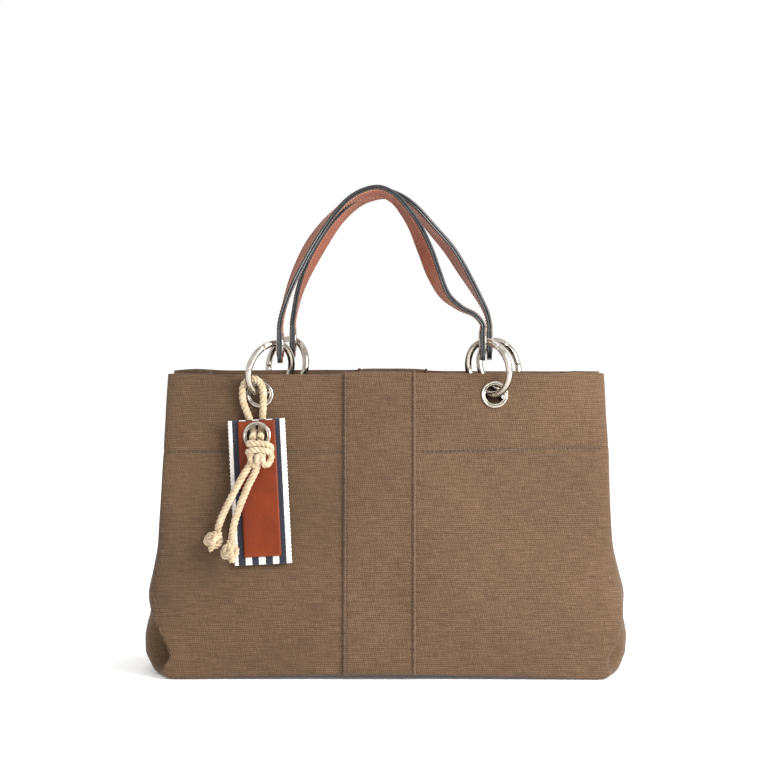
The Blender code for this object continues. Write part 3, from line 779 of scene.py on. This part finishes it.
def skin_offset(grid):
    """How far each point of the flat skin moves out along its normal."""
    x, y, z = grid[..., 0], grid[..., 1], grid[..., 2]
    deep = half_depth(z)
    front = ripples(x, z, 1) * smoothstep((-y - deep + 0.010) / 0.010)
    back = ripples(-x, z, -1) * smoothstep((y - deep + 0.010) / 0.010)
    share = 1 - np.clip(np.abs(y) / deep, 0, 1) ** 6
    folds = 0.0012 * np.sin(34 * y * np.sign(x) + 23 * z + 0.6) * np.sin(29 * z + 1.0)
    folds += 0.0006 * np.sin(95 * y + 61 * z) * np.sin(53 * z + 0.4)
    return front + back + folds * share * smoothstep(z / 0.02)


def shaped_skin():
    """The sagging outer skin, and its normals."""
    z_rows = skin_heights()
    grid = flat_skin(z_rows)
    normal = normals_of(grid)
    grid = grid + normal * skin_offset(grid)[..., None]
    x = grid[..., 0]
    z = z_rows[:, None] * np.ones_like(x)
    facing = np.abs(grid[..., 1]) / half_depth(z)
    near = smoothstep((facing - 0.6) / 0.35)
    lift = base_arch(x) * arch_share(z) * near
    side = np.where(grid[..., 1] < 0, 1.0, -1.0)
    top = mouth_rise(x, side) * mouth_share(z)
    grid[..., 2] += lift + top
    return grid, normals_of(grid)


SKIN, SKIN_NORMAL = shaped_skin()


def front_surface(x, z, out, side=1):
    """A point out from the shaped front (side 1) or, half a turn round, the back (side -1)."""
    z_up = z + base_arch(x) * arch_share(z) + mouth_rise(x, 1) * mouth_share(z)
    point = on_front(x, z, out + float(ripples(x, z, side)))
    point.z += float(z_up) - z
    return point if side > 0 else HALF_TURN @ point


def front_normal(x, z, side):
    """The direction out of the front or back at a point."""
    return (front_surface(x, z, 1.0, side) - front_surface(x, z, 0.0, side)).normalized()


def rounded_top(outer, inner, n):
    """Rows that round the upper edge of a closed sheet, for its outer and its inner grid."""
    half = np.linalg.norm(outer[-1] - inner[-1], axis=1, keepdims=True) / 2
    rows = []
    for k in range(1, 5):
        a = math.pi * k / 5
        rows.append(outer[-1] - n * half * (1 - math.cos(a))
                    + np.array([0, 0, 1.0]) * half * math.sin(a))
    return (np.concatenate([outer, np.array(rows[:2])]),
            np.concatenate([inner, np.array(rows[:1:-1])]))


def make_shell():
    """Front, back and both folded sides as one lofted canvas skin, turned under at the base."""
    flat = -SKIN_NORMAL[2].copy()
    flat[:, 2] = 0
    flat /= np.maximum(np.linalg.norm(flat, axis=1, keepdims=True), 1e-9)
    under = []
    for reach in (0.0085, 0.0055, 0.0030, 0.0014):
        ring = SKIN[0] + flat * reach
        ring[:, 2] = SKIN[0][:, 2]
        under.append(ring)
    outer = np.concatenate([np.array(under), SKIN[1:]])
    n = normals_of(outer)
    n[:4] = np.array([0, 0, -1.0])
    n[4] = (n[3] + n[5]) / 2
    n[4] /= np.linalg.norm(n[4], axis=1, keepdims=True)
    inner = outer - n * CANVAS
    outer, inner = rounded_top(outer, inner, n[-1])
    verts, faces, _ = closed_grid(outer, inner, wrap=True)
    shell = add_piece("canvas_shell", verts, faces, ["skin"], "bag",
                      ("front_panel", "back_panel", "left_gusset", "right_gusset"))
    drill(shell, EYELET_BARREL + GAP, DRILL_DEPTH,
          [turn @ panel_frame(x, EYELET_Z) for _, turn, x, _ in CORNERS])
    return shell


def settle(obj):
    """Press the lowest points of a piece flat on the floor, as its own weight does."""
    for vert in obj.data.vertices:
        vert.co.z = max(vert.co.z, FLOOR_CLEAR)


def front_grid(xs, zs, out, side):
    """A grid of points out from the front or back, a row for each height."""
    return np.array([[tuple(front_surface(x, z, out, side)) for x in xs] for z in zs])


def make_facings():
    """The mouth's inner canvas facing, front and back, and the stitches that hold it."""
    xs = np.linspace(-0.157, 0.157, 81)
    zs = np.linspace(0.1665, HEIGHT - 0.0012, 26)
    for side, word in ((1, "front"), (-1, "back")):
        outer = front_grid(xs, zs, -CANVAS - GAP, side)
        inner = front_grid(xs, zs, -CANVAS - GAP - FACING, side)
        n = np.array(HALF_TURN.to_3x3() @ Vector((0, -1, 0)) if side < 0 else (0, -1.0, 0))
        outer, inner = rounded_top(outer, inner, n[None, :])
        verts, faces, _ = closed_grid(outer, inner)
        facing = add_piece(f"facing_{word}", verts, faces, ["canvas"], "bag", (f"{word}_facing",))
        drill(facing, EYELET_BARREL + GAP, DRILL_DEPTH,
              [turn @ panel_frame(x, EYELET_Z) for name, turn, x, _ in CORNERS if name.startswith(word)])
        places = [(front_surface(x, float(stitch_height(x)), 0.0001, side), front_normal(x, 0.17, side))
                  for x in np.arange(-0.1635, 0.1650, 0.0034)
                  if abs(x - BAND_X) > BAND_WIDTH / 2 + 0.0012]
        for half, sign in (("left", -1), ("right", 1)):
            row = [p for p in places if p[0].x * side * sign > 0]
            stitch_row(f"facing_stitches_{word}_{half}", row, "canvas", "bag", 0.00042)


def band_thickness(d, z):
    """The band's thickness at d from its middle line: raised hems beside a sunk stitch line."""
    inside = BAND_WIDTH / 2 - abs(d)
    edge = max(0.0, 1 - inside / 0.0022)
    fold = 0.00130 * math.exp(-((inside - 0.0014) / 0.0011) ** 2)
    sink = 0.0006 * math.exp(-((inside - 0.0027) / 0.0006) ** 2)
    lump = 0.00018 * math.sin(z * 310 + 40 * d) * math.sin(z * 97 + (0 if d < 0 else 2))
    thick = (0.00105 + fold - sink + lump) if edge < 1 else 0.0004
    return max(0.0003, thick * (math.sqrt(max(0.0, 1 - edge ** 2)) * 0.85 + 0.15))


def band_under(x, reach, last, side):
    """Outer and inner points of the band turned under the base, reach in from the face. The
    last row there rises into the fold."""
    arch, face = float(base_arch(x)), -half_depth(0.0)
    if last:
        pair = (Vector((x, face + 0.0004, max(arch, FLOOR_CLEAR))),
                Vector((x, face + 0.0016, arch + 0.0010)))
    else:
        low = max(arch - 0.0006, FLOOR_CLEAR)
        pair = Vector((x, face + reach, low)), Vector((x, face + reach, low + 0.0006))
    return [p if side > 0 else HALF_TURN @ p for p in pair]


def make_bands():
    """The folded centre band on each face: it turns under the base and over the mouth's edge."""
    half = BAND_WIDTH / 2
    across = np.concatenate([np.linspace(-half, -half + 0.0042, 8),
                             np.linspace(-half + 0.0060, half - 0.0060, 15),
                             np.linspace(half - 0.0042, half, 8)])
    heights = np.concatenate([np.linspace(0.0022, 0.05, 18), np.linspace(0.05, HEIGHT - 0.0008, 52)[1:]])
    up = np.array([0, 0, 1.0])
    for side, word in ((1, "front"), (-1, "back")):
        rows = [[band_under(BAND_X + d, reach, reach == 0.0018, side) for d in across]
                for reach in (0.010, 0.0050, 0.0018)]
        for z in heights:
            rows.append([(front_surface(BAND_X + d, z, GAP * 0.5 + band_thickness(d, z), side),
                          front_surface(BAND_X + d, z, GAP * 0.5, side)) for d in across])
        outer, inner = (list(grid) for grid in split_pairs(rows))
        top_out, top_in = outer[-1], inner[-1]
        into = np.array([0, 1.0 * side, 0])
        wide = CANVAS + FACING + 2 * GAP
        for k in range(1, 8):
            a = math.pi * k / 8
            for grid, grow in ((outer, 1.0), (inner, 0.0)):
                r = wide / 2 + np.linalg.norm(top_out - top_in, axis=1, keepdims=True) * grow
                grid.append(top_in + into * wide / 2 - into * r * math.cos(a) + up * (r * math.sin(a)) * 0.8)
        tail_out, tail_in = outer[-1], inner[-1]
        for k in range(1, 9):
            drop = 0.003 * k
            lean = into * (-math.tan(SLOPE) * drop)
            outer.append(tail_out + lean - up * drop)
            inner.append(tail_in + lean - up * drop)
        verts, faces, _ = closed_grid(np.array(outer), np.array(inner))
        add_piece(f"centre_band_{word}_cloth", verts, faces, ["canvas"], "bag",
                  (f"centre_band_{word}",))
        for edge, sign in (("left", -1), ("right", 1)):
            x = BAND_X + sign * (half - 0.0029)
            row = [(front_surface(x, z, 0.0013, side), front_normal(x, z, side))
                   for z in np.arange(0.004, HEIGHT - 0.001, 0.0031)]
            stitch_row(f"band_stitches_{word}_{edge}", row, "canvas", "bag", 0.00036)


def make_base():
    """Base cloth, stiffening board and lining base, all following the base's slight arch."""
    for name, half_x, half_y, low, high, look, slot, node, corner in (
            ("base_cloth", 0.163, 0.0635, 0.0002, 0.0013, "base_canvas", "canvas", "base_panel", 0.012),
            ("stiff_board", 0.158, 0.0600, 0.0016, 0.0036, "board", "base_board", "base_board", 0.010),
            ("lining_floor", 0.157, 0.0600, 0.0040, 0.0046, "lining", "lining", "lining_base", 0.010)):
        def pair(u, v):
            cut = corner * max(0.0, abs(v) - 0.72) / 0.28
            x, y = u * (half_x - cut * cut / corner), v * half_y
            arch = float(base_arch(x))
            return (x, y, arch + high), (x, y, arch + low)
        verts, faces, _ = flat_sheet(np.linspace(-1, 1, 61), np.linspace(-1, 1, 25), pair)
        add_piece(name, verts, faces, [look], "bag", (node,))


def make_lining():
    """Thin cloth inside the skin, up to the facings, with a patch pocket on the back."""
    outer, inner = [], []
    for z in np.linspace(0.0062, 0.1650, 40):
        corner = float(np.interp(z, [0, 0.045, 0.070, 0.110, 0.166], [0.137, 0.139, 0.156, 0.160, 0.157]))
        middle = float(np.interp(z, [0, 0.045, 0.080, 0.102, 0.150, 0.190],
                                 [0.160, 0.166, 0.165, 0.157, 0.143, 0.135]))
        deep = half_depth(z) - 0.0048
        quarter = [(x, -deep) for x in np.linspace(-corner + 0.006, corner - 0.006, 60)]
        for v in np.linspace(-1, 1, 33):
            x = corner * v ** 4 + middle * (1 - v ** 4)
            quarter.append((x, v * (deep - 0.003)))
        loop = quarter + [(-x, -y) for x, y in quarter]
        for rows, extra in ((outer, 0.0), (inner, 0.0006)):
            ring = []
            for x, y in loop:
                slack = 0.0007 * (1 + math.sin(64 * x + 25 * z) * math.sin(37 * z + 11 * x + 60 * y)) + extra
                size = math.hypot(x, y)
                ring.append((x - slack * x / size, y - math.copysign(slack, y) * min(1, abs(y) / 0.01), z))
            rows.append(ring)
    outer, inner = np.array(outer), np.array(inner)
    verts, faces, _ = closed_grid(outer, inner, wrap=True)
    add_piece("lining_cloth", verts, faces, ["lining"], "bag", ("lining",))

    def pocket(x, z):
        slack = 0.0012 * math.sin(math.pi * (z - 0.045) / 0.11) * (1 + 0.4 * math.sin(50 * x))
        deep = -(CANVAS + 0.0054) - slack
        return front_surface(x, z, deep, -1), front_surface(x, z, deep - 0.0008, -1)
    verts, faces, _ = flat_sheet(np.linspace(-0.08, 0.08, 41), np.linspace(0.045, 0.155, 24), pocket)
    add_piece("pocket_cloth", verts, faces, ["lining"], "bag", ("inner_pocket",))


# ---------------------------------------------------------------- metal
def bead(r, h, radius, start, stop, count):
    """Profile points round a rolled edge, angles in degrees from the radial direction."""
    angles = [math.radians(start + (stop - start) * i / (count - 1)) for i in range(count)]
    return [(r + radius * math.cos(a), h + radius * math.sin(a)) for a in angles]


def make_eyelets():
    """Rolled panel eyelets: a bright rim, a groove and a flared inner cup."""
    stack = CANVAS + GAP + FACING
    back = -(stack + 0.0013)
    for name, turn, x, _ in CORNERS:
        profile = [(0.0102, 0.0002)] + bead(0.0093, 0.0004, 0.0010, 0, 160, 9)
        profile += [(0.0082, 0.0004), (0.0080, 0.0007)] + bead(0.0077, 0.0009, 0.00045, 40, 170, 6)
        profile += [(0.0072, 0.0004), (0.0072, back), (0.0078, back - 0.0002), (0.0080, 0.0001)]
        turned(f"panel_eyelet_{name}", profile, turn @ panel_frame(x, EYELET_Z), "bag",
               (f"eyelet_{name}",), 80)
        plate(f"washer_{name}")


def plate(name):
    """Give a CAD node the nickel look."""
    for place in bpy.data.objects[name].material_slots:
        place.material = MAT["nickel"]


def ring_frame(turn, x, lean):
    """A ring's axes at its middle: X and Z in its plane, Y across the wire."""
    side = 1 if x > 0 else -1
    tilt = Matrix.Rotation(-side * lean, 3, "Y")
    up = tilt @ Vector((0, 0, 1))
    front = tilt @ Vector((side * math.cos(RING_TURN), -math.sin(RING_TURN), 0))
    across = up.cross(front)
    root = on_front(x, EYELET_Z, -(CANVAS + GAP + FACING) / 2)
    axes = Matrix((front, across, up)).transposed().to_4x4()
    return turn @ (Matrix.Translation(root + up * RING_RADIUS) @ axes)


def arc(start, stop, count):
    """Points on a ring's middle line between two angles from its top."""
    angles = [start + (stop - start) * i / (count - 1) for i in range(count)]
    return [Vector((RING_RADIUS * math.sin(a), 0, RING_RADIUS * math.cos(a))) for a in angles]


GATE_SCALE = [0.80, 0.90, 0.97] + [1.0] * 28 + [0.985, 0.94, 0.86]


def make_rings():
    """Spring-gate rings: the wire, the gate with its slanted free end, and the hinge's pin."""
    for name, turn, x, lean in CORNERS:
        place = ring_frame(turn, x, lean)
        gap = 0.00035 / RING_RADIUS
        for word, line, radius, scale in (
                ("ring", arc(GATE_TO + gap, GATE_FROM + math.tau - gap, 150), WIRE, None),
                ("gate", arc(GATE_FROM + gap, GATE_TO - gap, 34), WIRE * 0.985, GATE_SCALE)):
            verts, faces = swept(line, radius, 24, scale)
            add_piece(f"{word}_wire_{name}", verts, faces, ["nickel"], f"{word}_{name}_body",
                      (f"{word}_{name}",), place)
        pin = arc(GATE_FROM + 0.0015 / RING_RADIUS, GATE_TO, 2)[0]
        profile = [(0.0, WIRE + 0.0003), (0.0007, WIRE + 0.0002), (0.0009, WIRE - 0.0001),
                   (0.0009, -WIRE + 0.0001), (0.0007, -WIRE - 0.0002), (0.0, -WIRE - 0.0003)]
        profile = [(max(r, 0.00004), h) for r, h in profile]
        at = place @ Matrix.Translation(pin) @ Matrix.Rotation(math.pi / 2, 4, "X")
        turned(f"gate_pin_{name}", profile, at, f"gate_{name}_body", (), 20)


# ---------------------------------------------------------------- handles
HANDLE_ROUTES = {
    "front": ([(-0.0782, 0.272), (-0.0732, 0.289), (-0.0660, 0.307), (-0.0550, 0.328),
               (-0.0400, 0.3475), (-0.0245, 0.360), (-0.0070, 0.3650), (0.0055, 0.3600),
               (0.0143, 0.3500), (0.0220, 0.3375), (0.0297, 0.320), (0.0365, 0.302),
               (0.0448, 0.2860), (0.0560, 0.2765), (0.0668, 0.2712)],
              [(0.0, 0.0), (-0.32, 0.0), (-0.05, -0.26), (-0.45, -0.10), (0.0, 0.0)]),
    "back": ([(-0.0712, 0.273), (-0.0675, 0.288), (-0.0608, 0.305), (-0.0503, 0.3245),
              (-0.0375, 0.3430), (-0.0219, 0.357), (-0.0051, 0.3632), (0.0085, 0.3610),
              (0.0220, 0.3518), (0.0349, 0.337), (0.0491, 0.320), (0.0620, 0.2994),
              (0.0715, 0.2835), (0.0775, 0.272)],
             [(0.0, 0.0), (0.34, 0.0), (0.05, -0.22), (-0.30, -0.08), (0.0, 0.0)]),
}


def handle_line(side, count):
    """Points of the strap's middle line, its width and its outer face directions."""
    places = {name: place for name, *place in CORNERS}
    left, right = (ring_frame(*places[f"{side}_{end}"]) @ Vector((0, 0, RING_RADIUS))
                   for end in ("left", "right"))
    middle, lean = HANDLE_ROUTES[side]
    sign = -1 if side == "front" else 1
    base_y = left.y
    straight = (0.0135, 0.009, 0.0, -0.007, -STRAP_TAIL)
    knots = [left + Vector((0, 0, dz)) for dz in reversed(straight)]
    knots += [Vector((x, base_y + (sign * HANDLE_APEX_Y - base_y) * smoothstep((z - 0.262) / 0.1), z))
              for x, z in middle]
    knots += [right + Vector((0, 0, dz)) for dz in straight]
    line = smooth_path(knots, count)
    end = 0.085
    widths, faces_out = [], []
    for i, co in enumerate(line):
        along = 4 * min(max((i / (count - 1) - end) / (1 - 2 * end), 0.0), 1.0)
        k = min(int(along), 3)
        share = smoothstep(along - k)
        twist = [a + (b - a) * share for a, b in zip(lean[k], lean[k + 1])]
        tangent = (line[min(i + 1, count - 1)] - line[max(i - 1, 0)]).normalized()
        width = Vector((twist[0], 1.0, twist[1]))
        width = (width - tangent * width.dot(tangent)).normalized()
        normal = tangent.cross(width)
        if normal.dot(Vector((co.x, 0, co.z - 0.285))) < 0:
            normal = -normal
        widths.append(width)
        faces_out.append(normal)
    return line, widths, faces_out, left, right


def strap_section(thickness):
    """Across the strap: (share of the half width, height, is edge), rounded paint at both edges."""
    flat = [(v, 0.0, 0) for v in np.linspace(-0.90, 0.90, 15)]
    top = [(v, 0.00010 * math.exp(-((1 - abs(v)) / 0.10) ** 2)
            - 0.00016 * math.exp(-((abs(v) - 0.80) / 0.05) ** 2), 0) for v, _, _ in flat]
    right = [(0.955, 0.00004, 1), (1.0, -0.00040, 1), (1.0, -thickness + 0.00040, 1),
             (0.955, -thickness - 0.00004, 1)]
    bottom = [(v, -thickness, 0) for v, _, _ in reversed(flat)]
    left = [(-u, h, e) for u, h, e in reversed(right)]
    return top + right + bottom + left


def make_strap(name, line, widths, normals, shift, thickness, node, body):
    """One leather layer with rounded, painted edges and rounded ends."""
    section = strap_section(thickness)
    n = len(section)
    verts, faces, marks = [], [], []
    count, trim, run = len(line), 0.0075, distances(line)
    for i in range(count):
        far = min(run[i], run[-1] - run[i])
        wide = STRAP_HALF_WIDTH
        if far < trim:
            wide *= 0.30 + 0.70 * math.sqrt(max(0.0, 1 - ((trim - far) / trim) ** 2))
        wave = 0.00010 * math.sin(run[i] * 210) + 0.00008 * math.sin(run[i] * 97 + 1)
        for v, h, _ in section:
            verts.append(line[i] + widths[i] * v * (wide + wave) + normals[i] * (shift + h))
    for i in range(count - 1):
        faces += ring_faces(i * n, (i + 1) * n, n)
        marks += [1 if section[k][2] or section[(k + 1) % n][2] else 0 for k in range(n)]
    for i in (0, count - 1):
        faces.append(tuple(range(i * n, i * n + n)))
        marks.append(1)
    return add_piece(name, verts, faces, ["leather", "edge"], body, (node,), None, marks)


def make_handles():
    """Two handles: each two leather layers, an eyelet at both ends and four rows of stitches."""
    half = (STRAP_OUTER + GAP + STRAP_INNER) / 2
    far = -(2 * half + GAP)
    profile = bead(0.0087, 0.0003, 0.0008, 0, 150, 8)
    profile += [(0.0076, 0.0004)] + bead(0.0074, 0.0005, 0.0003, 60, 180, 4)
    profile += [(0.0071, far)] + bead(0.0087, far - 0.0002, 0.0008, 220, 360, 8)
    profile += [(0.0079, far + 0.0002), (0.0079, 0.0)]
    for side in ("front", "back"):
        body = f"handle_{side}"
        line, widths, normals, left, right = handle_line(side, 241)
        outer = make_strap(f"strap_outer_{side}", line, widths, normals, half + 0.0003,
                           STRAP_OUTER + 0.0003, f"handle_{side}_outer", body)
        inner = make_strap(f"strap_inner_{side}", line, widths, normals, half - STRAP_OUTER - GAP * 0.3,
                           STRAP_INNER + 0.0005, f"handle_{side}_lining", body)
        holes = []
        for end, top, out in (("left", left, -1), ("right", right, 1)):
            at = (Matrix.Translation(top + Vector((out * half, 0, 0)))
                  @ Matrix.Rotation(out * math.pi / 2, 4, "Y"))
            holes.append(at)
            turned(f"handle_eyelet_{side}_{end}", profile, at, body, (f"strap_eyelet_{side}_{end}",), 64)
        for strap in (outer, inner):
            drill(strap, STRAP_BARREL + GAP, DRILL_DEPTH, holes)
        fine, wide, normal, _, _ = handle_line(side, 134)
        for word, sign in (("near", -1), ("far", 1)):
            for layer, way in (("outer", 1), ("inner", -1)):
                row = [(fine[i] + wide[i] * sign * STRAP_HALF_WIDTH * 0.80 + normal[i] * way * (half + 0.0003),
                        normal[i] * way) for i in range(9, 125)]
                stitch_row(f"strap_stitches_{side}_{layer}_{word}", row, "leather", body, 0.00038)


# ---------------------------------------------------------------- rope charm
def charm_point(right, up, out):
    """A point of the charm, from the front left eyelet's middle."""
    return on_front(-EYELET_FAR + right, EYELET_Z + up * math.cos(SLOPE), out)


ROPE_ROUTES = {
    "loop": [(-.0043, -.0352, .0160), (-.0043, -.0330, .0110), (-.0043, -.0316, .0066),
             (-.0046, -.0275, .0030), (-.0086, -.0160, .0032), (-.0122, -.0060, .0044),
             (-.0127, .0035, .0052), (-.0100, .0092, .0054), (-.0052, .0112, .0054),
             (-.0004, .0092, .0054), (.0026, .0032, .0052), (.0029, -.0060, .0044),
             (.0024, -.0160, .0032), (.0014, -.0275, .0030), (.0013, -.0316, .0066),
             (.0013, -.0330, .0110), (.0013, -.0352, .0160)],
    "tail_left": [(-.0036, -.0505, .0160), (-.0068, -.0560, .0160), (-.0130, -.0660, .0155),
                  (-.0200, -.0790, .0130), (-.0265, -.0920, .0100), (-.0305, -.1030, .0085)],
    "tail_right": [(.0004, -.0500, .0165), (-.0014, -.0585, .0165), (-.0072, -.0700, .0148),
                   (-.0126, -.0830, .0132), (-.0174, -.0970, .0124), (-.0197, -.1110, .0125)],
}
KNOTS = {
    "rope_knot": [(-.0040, .0088, -.0030), (-.0078, .0074, -.0006), (-.0066, .0064, .0034),
                  (.0000, .0070, .0050), (.0070, .0056, .0032), (.0086, .0034, -.0012),
                  (.0060, .0020, -.0040), (-.0060, .0014, -.0040), (-.0084, .0006, -.0008),
                  (-.0068, .0016, .0036), (.0000, .0022, .0054), (.0070, .0008, .0038),
                  (.0088, -.0018, .0004), (.0080, -.0062, .0018), (.0052, -.0090, .0020),
                  (.0026, -.0070, .0032), (.0022, -.0020, .0040), (-.0004, -.0014, .0034),
                  (-.0016, -.0052, .0034), (-.0012, -.0082, .0018), (-.0036, -.0094, .0006),
                  (-.0060, -.0062, .0006), (-.0066, -.0020, .0016), (-.0030, .0000, .0006)],
    "end_knot": [(.0030, .0062, .0000), (.0048, .0024, .0024), (.0010, -.0012, .0050),
                 (-.0040, -.0030, .0024), (-.0052, -.0006, -.0016), (-.0026, .0034, -.0034),
                 (.0020, .0036, -.0030), (.0050, .0004, -.0012), (.0040, -.0038, .0014),
                 (.0000, -.0056, .0018), (-.0034, -.0030, .0008), (-.0018, .0020, .0034),
                 (.0016, .0034, .0040), (.0014, .0000, .0052), (-.0004, -.0046, .0044),
                 (-.0020, -.0084, .0020)],
}


def rope_piece(name, line, radius, pitch, node):
    """A laid rope along a line, marked with how deep each point lies for the painted shade between its
    strands; the piece and its line.
    """
    verts, faces, depth = rope_strands(line, radius, pitch)
    obj = add_piece(name, verts, faces, ["rope"], "charm", (node,))
    obj.data.attributes.new("depth", "FLOAT", "POINT").data.foreach_set("value", depth)
    return obj, line


def make_rope():
    """Loop, tails and knots of natural three-strand rope."""
    made = {}
    for word, count in (("loop", 150), ("tail_left", 90), ("tail_right", 90)):
        line = smooth_path([charm_point(*p) for p in ROPE_ROUTES[word]], count)
        made[word] = rope_piece(f"charm_{word}", line, ROPE * 1.13, 0.0105, f"rope_{word}")
    for name, route, centre, turn, thick, count in (
            ("rope_knot", "rope_knot", (.0010, -.0465, .0176), 0.0, 1.0, 220),
            ("end_knot_left", "end_knot", (-.0335, -.1100, .0085), 0.0, 0.92, 130),
            ("end_knot_right", "end_knot", (-.0212, -.1189, .0130), 0.5, 0.92, 130)):
        base = panel_frame(0, 0)
        base.translation = charm_point(*centre)
        base = base @ Matrix.Rotation(turn, 4, "Z")
        line = smooth_path([base @ Vector(p) for p in KNOTS[route]], count)
        made[name] = rope_piece(f"charm_{name}", line, ROPE * thick, 0.0095, name)
    return made


def tag_frame():
    """The tag's axes at its eyelet: X across, Y up along it, Z out of its face."""
    hang = panel_frame(-0.0968, 0.1793, TAG_OUT)
    return hang @ Matrix.Rotation(TAG_TILT, 4, "Z") @ Matrix.Rotation(TAG_LEAN, 4, "X")


def tag_wave(x, y):
    """The tag's slight waviness."""
    return 0.00035 * math.sin(60 * y + 1.2) + 0.00022 * math.sin(210 * x + 30 * y)


def make_tag():
    """Striped grosgrain ribbon, leather patch with painted edges, and their eyelet."""
    place = tag_frame()
    half = TAG_WIDTH / 2

    def ribbon_pair(x, y):
        picot = 0.00030 * math.sin(math.tau * y / 0.0030) * (abs(x) / half) ** 12
        wide = x * (1 + picot / half)
        thin = 0.00010 if abs(x) > half - 0.0006 else 0.0
        level = tag_wave(x, y) * 0.5
        return (wide, y, level - thin), (wide, y, level - RIBBON + 0.0003 + thin)
    verts, faces, _ = flat_sheet(np.linspace(-half, half, 41),
                                 np.linspace(TAG_HOLE_DOWN - TAG_LENGTH, TAG_HOLE_DOWN, 141), ribbon_pair)
    ribbon = add_piece("ribbon_stripes", verts, faces, ["ribbon"], "charm", ("tag_ribbon",), place)
    patch_top = TAG_HOLE_DOWN - 0.0010
    ys = np.linspace(patch_top - PATCH_LENGTH, patch_top, 97)

    def patch_pair(x, y):
        rim = min(PATCH_WIDTH / 2 - abs(x), y - ys[0], ys[-1] - y)
        rounding = 0.00042 * (1 - min(rim / 0.0008, 1.0)) ** 2
        lift = tag_wave(x, y) * 0.5 + GAP
        return (x, y, lift + PATCH - 0.0002 - rounding), (x, y, lift - 0.0001)
    verts, faces, marks = flat_sheet(np.linspace(-PATCH_WIDTH / 2, PATCH_WIDTH / 2, 33), ys, patch_pair)
    patch = add_piece("leather_patch", verts, faces, ["tag_leather", "edge"], "charm",
                      ("tag_leather",), place, marks)
    on_top = place @ Matrix.Translation((0, 0, PATCH + GAP))
    for obj in (ribbon, patch):
        drill(obj, TAG_BARREL + GAP, 0.02, [obj.matrix_world.copy()])
    far = -(RIBBON + PATCH + 2 * GAP)
    profile = [(0.0105, 0.0002)] + bead(0.0096, 0.0004, 0.0010, 0, 160, 9)
    profile += [(0.0086, 0.0004)] + bead(0.0081, 0.0006, 0.0004, 40, 180, 6)
    profile += [(0.0077, far - 0.0002)] + bead(0.0090, far - 0.0001, 0.0006, 200, 350, 6)
    profile += [(0.0085, far + 0.0003), (0.0085, 0.0001)]
    eyelet = turned("charm_eyelet", profile, on_top, "charm", ("tag_eyelet",), 80)
    return ribbon, patch, eyelet


# ---------------------------------------------------------------- build
charm = make_rope()
settle(make_shell())
make_facings()
make_bands()
make_base()
make_lining()
make_eyelets()
make_rings()
make_handles()
ribbon, patch, eyelet = make_tag()
pieces_on = {"loop": (charm["rope_knot"][0], ribbon, patch, eyelet),
             "tail_left": (charm["end_knot_left"][0],), "tail_right": (charm["end_knot_right"][0],)}
for word, on_it in pieces_on.items():
    obj, line = charm[word]
    length = distances(line)[-1]
    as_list(on_it)
for name in ("magnetic_snap_front", "magnetic_snap_back"):
    plate(name)

floor_mesh = bpy.data.meshes.new("floor")
floor_mesh.from_pydata([(-6, -6, 0), (6, -6, 0), (6, 6, 0), (-6, 6, 0)], [], [(0, 1, 2, 3)])
floor_look = Graph("pale_floor", roughness=0.7)
floor_look.shader.inputs["Base Color"].default_value = (0.96, 0.96, 0.96, 1)
floor_look.shader.inputs["Emission Color"].default_value = (1, 1, 1, 1)
floor_look.shader.inputs["Emission Strength"].default_value = 0.08
floor_mesh.materials.append(floor_look.mat)
floor = put("floor", floor_mesh)
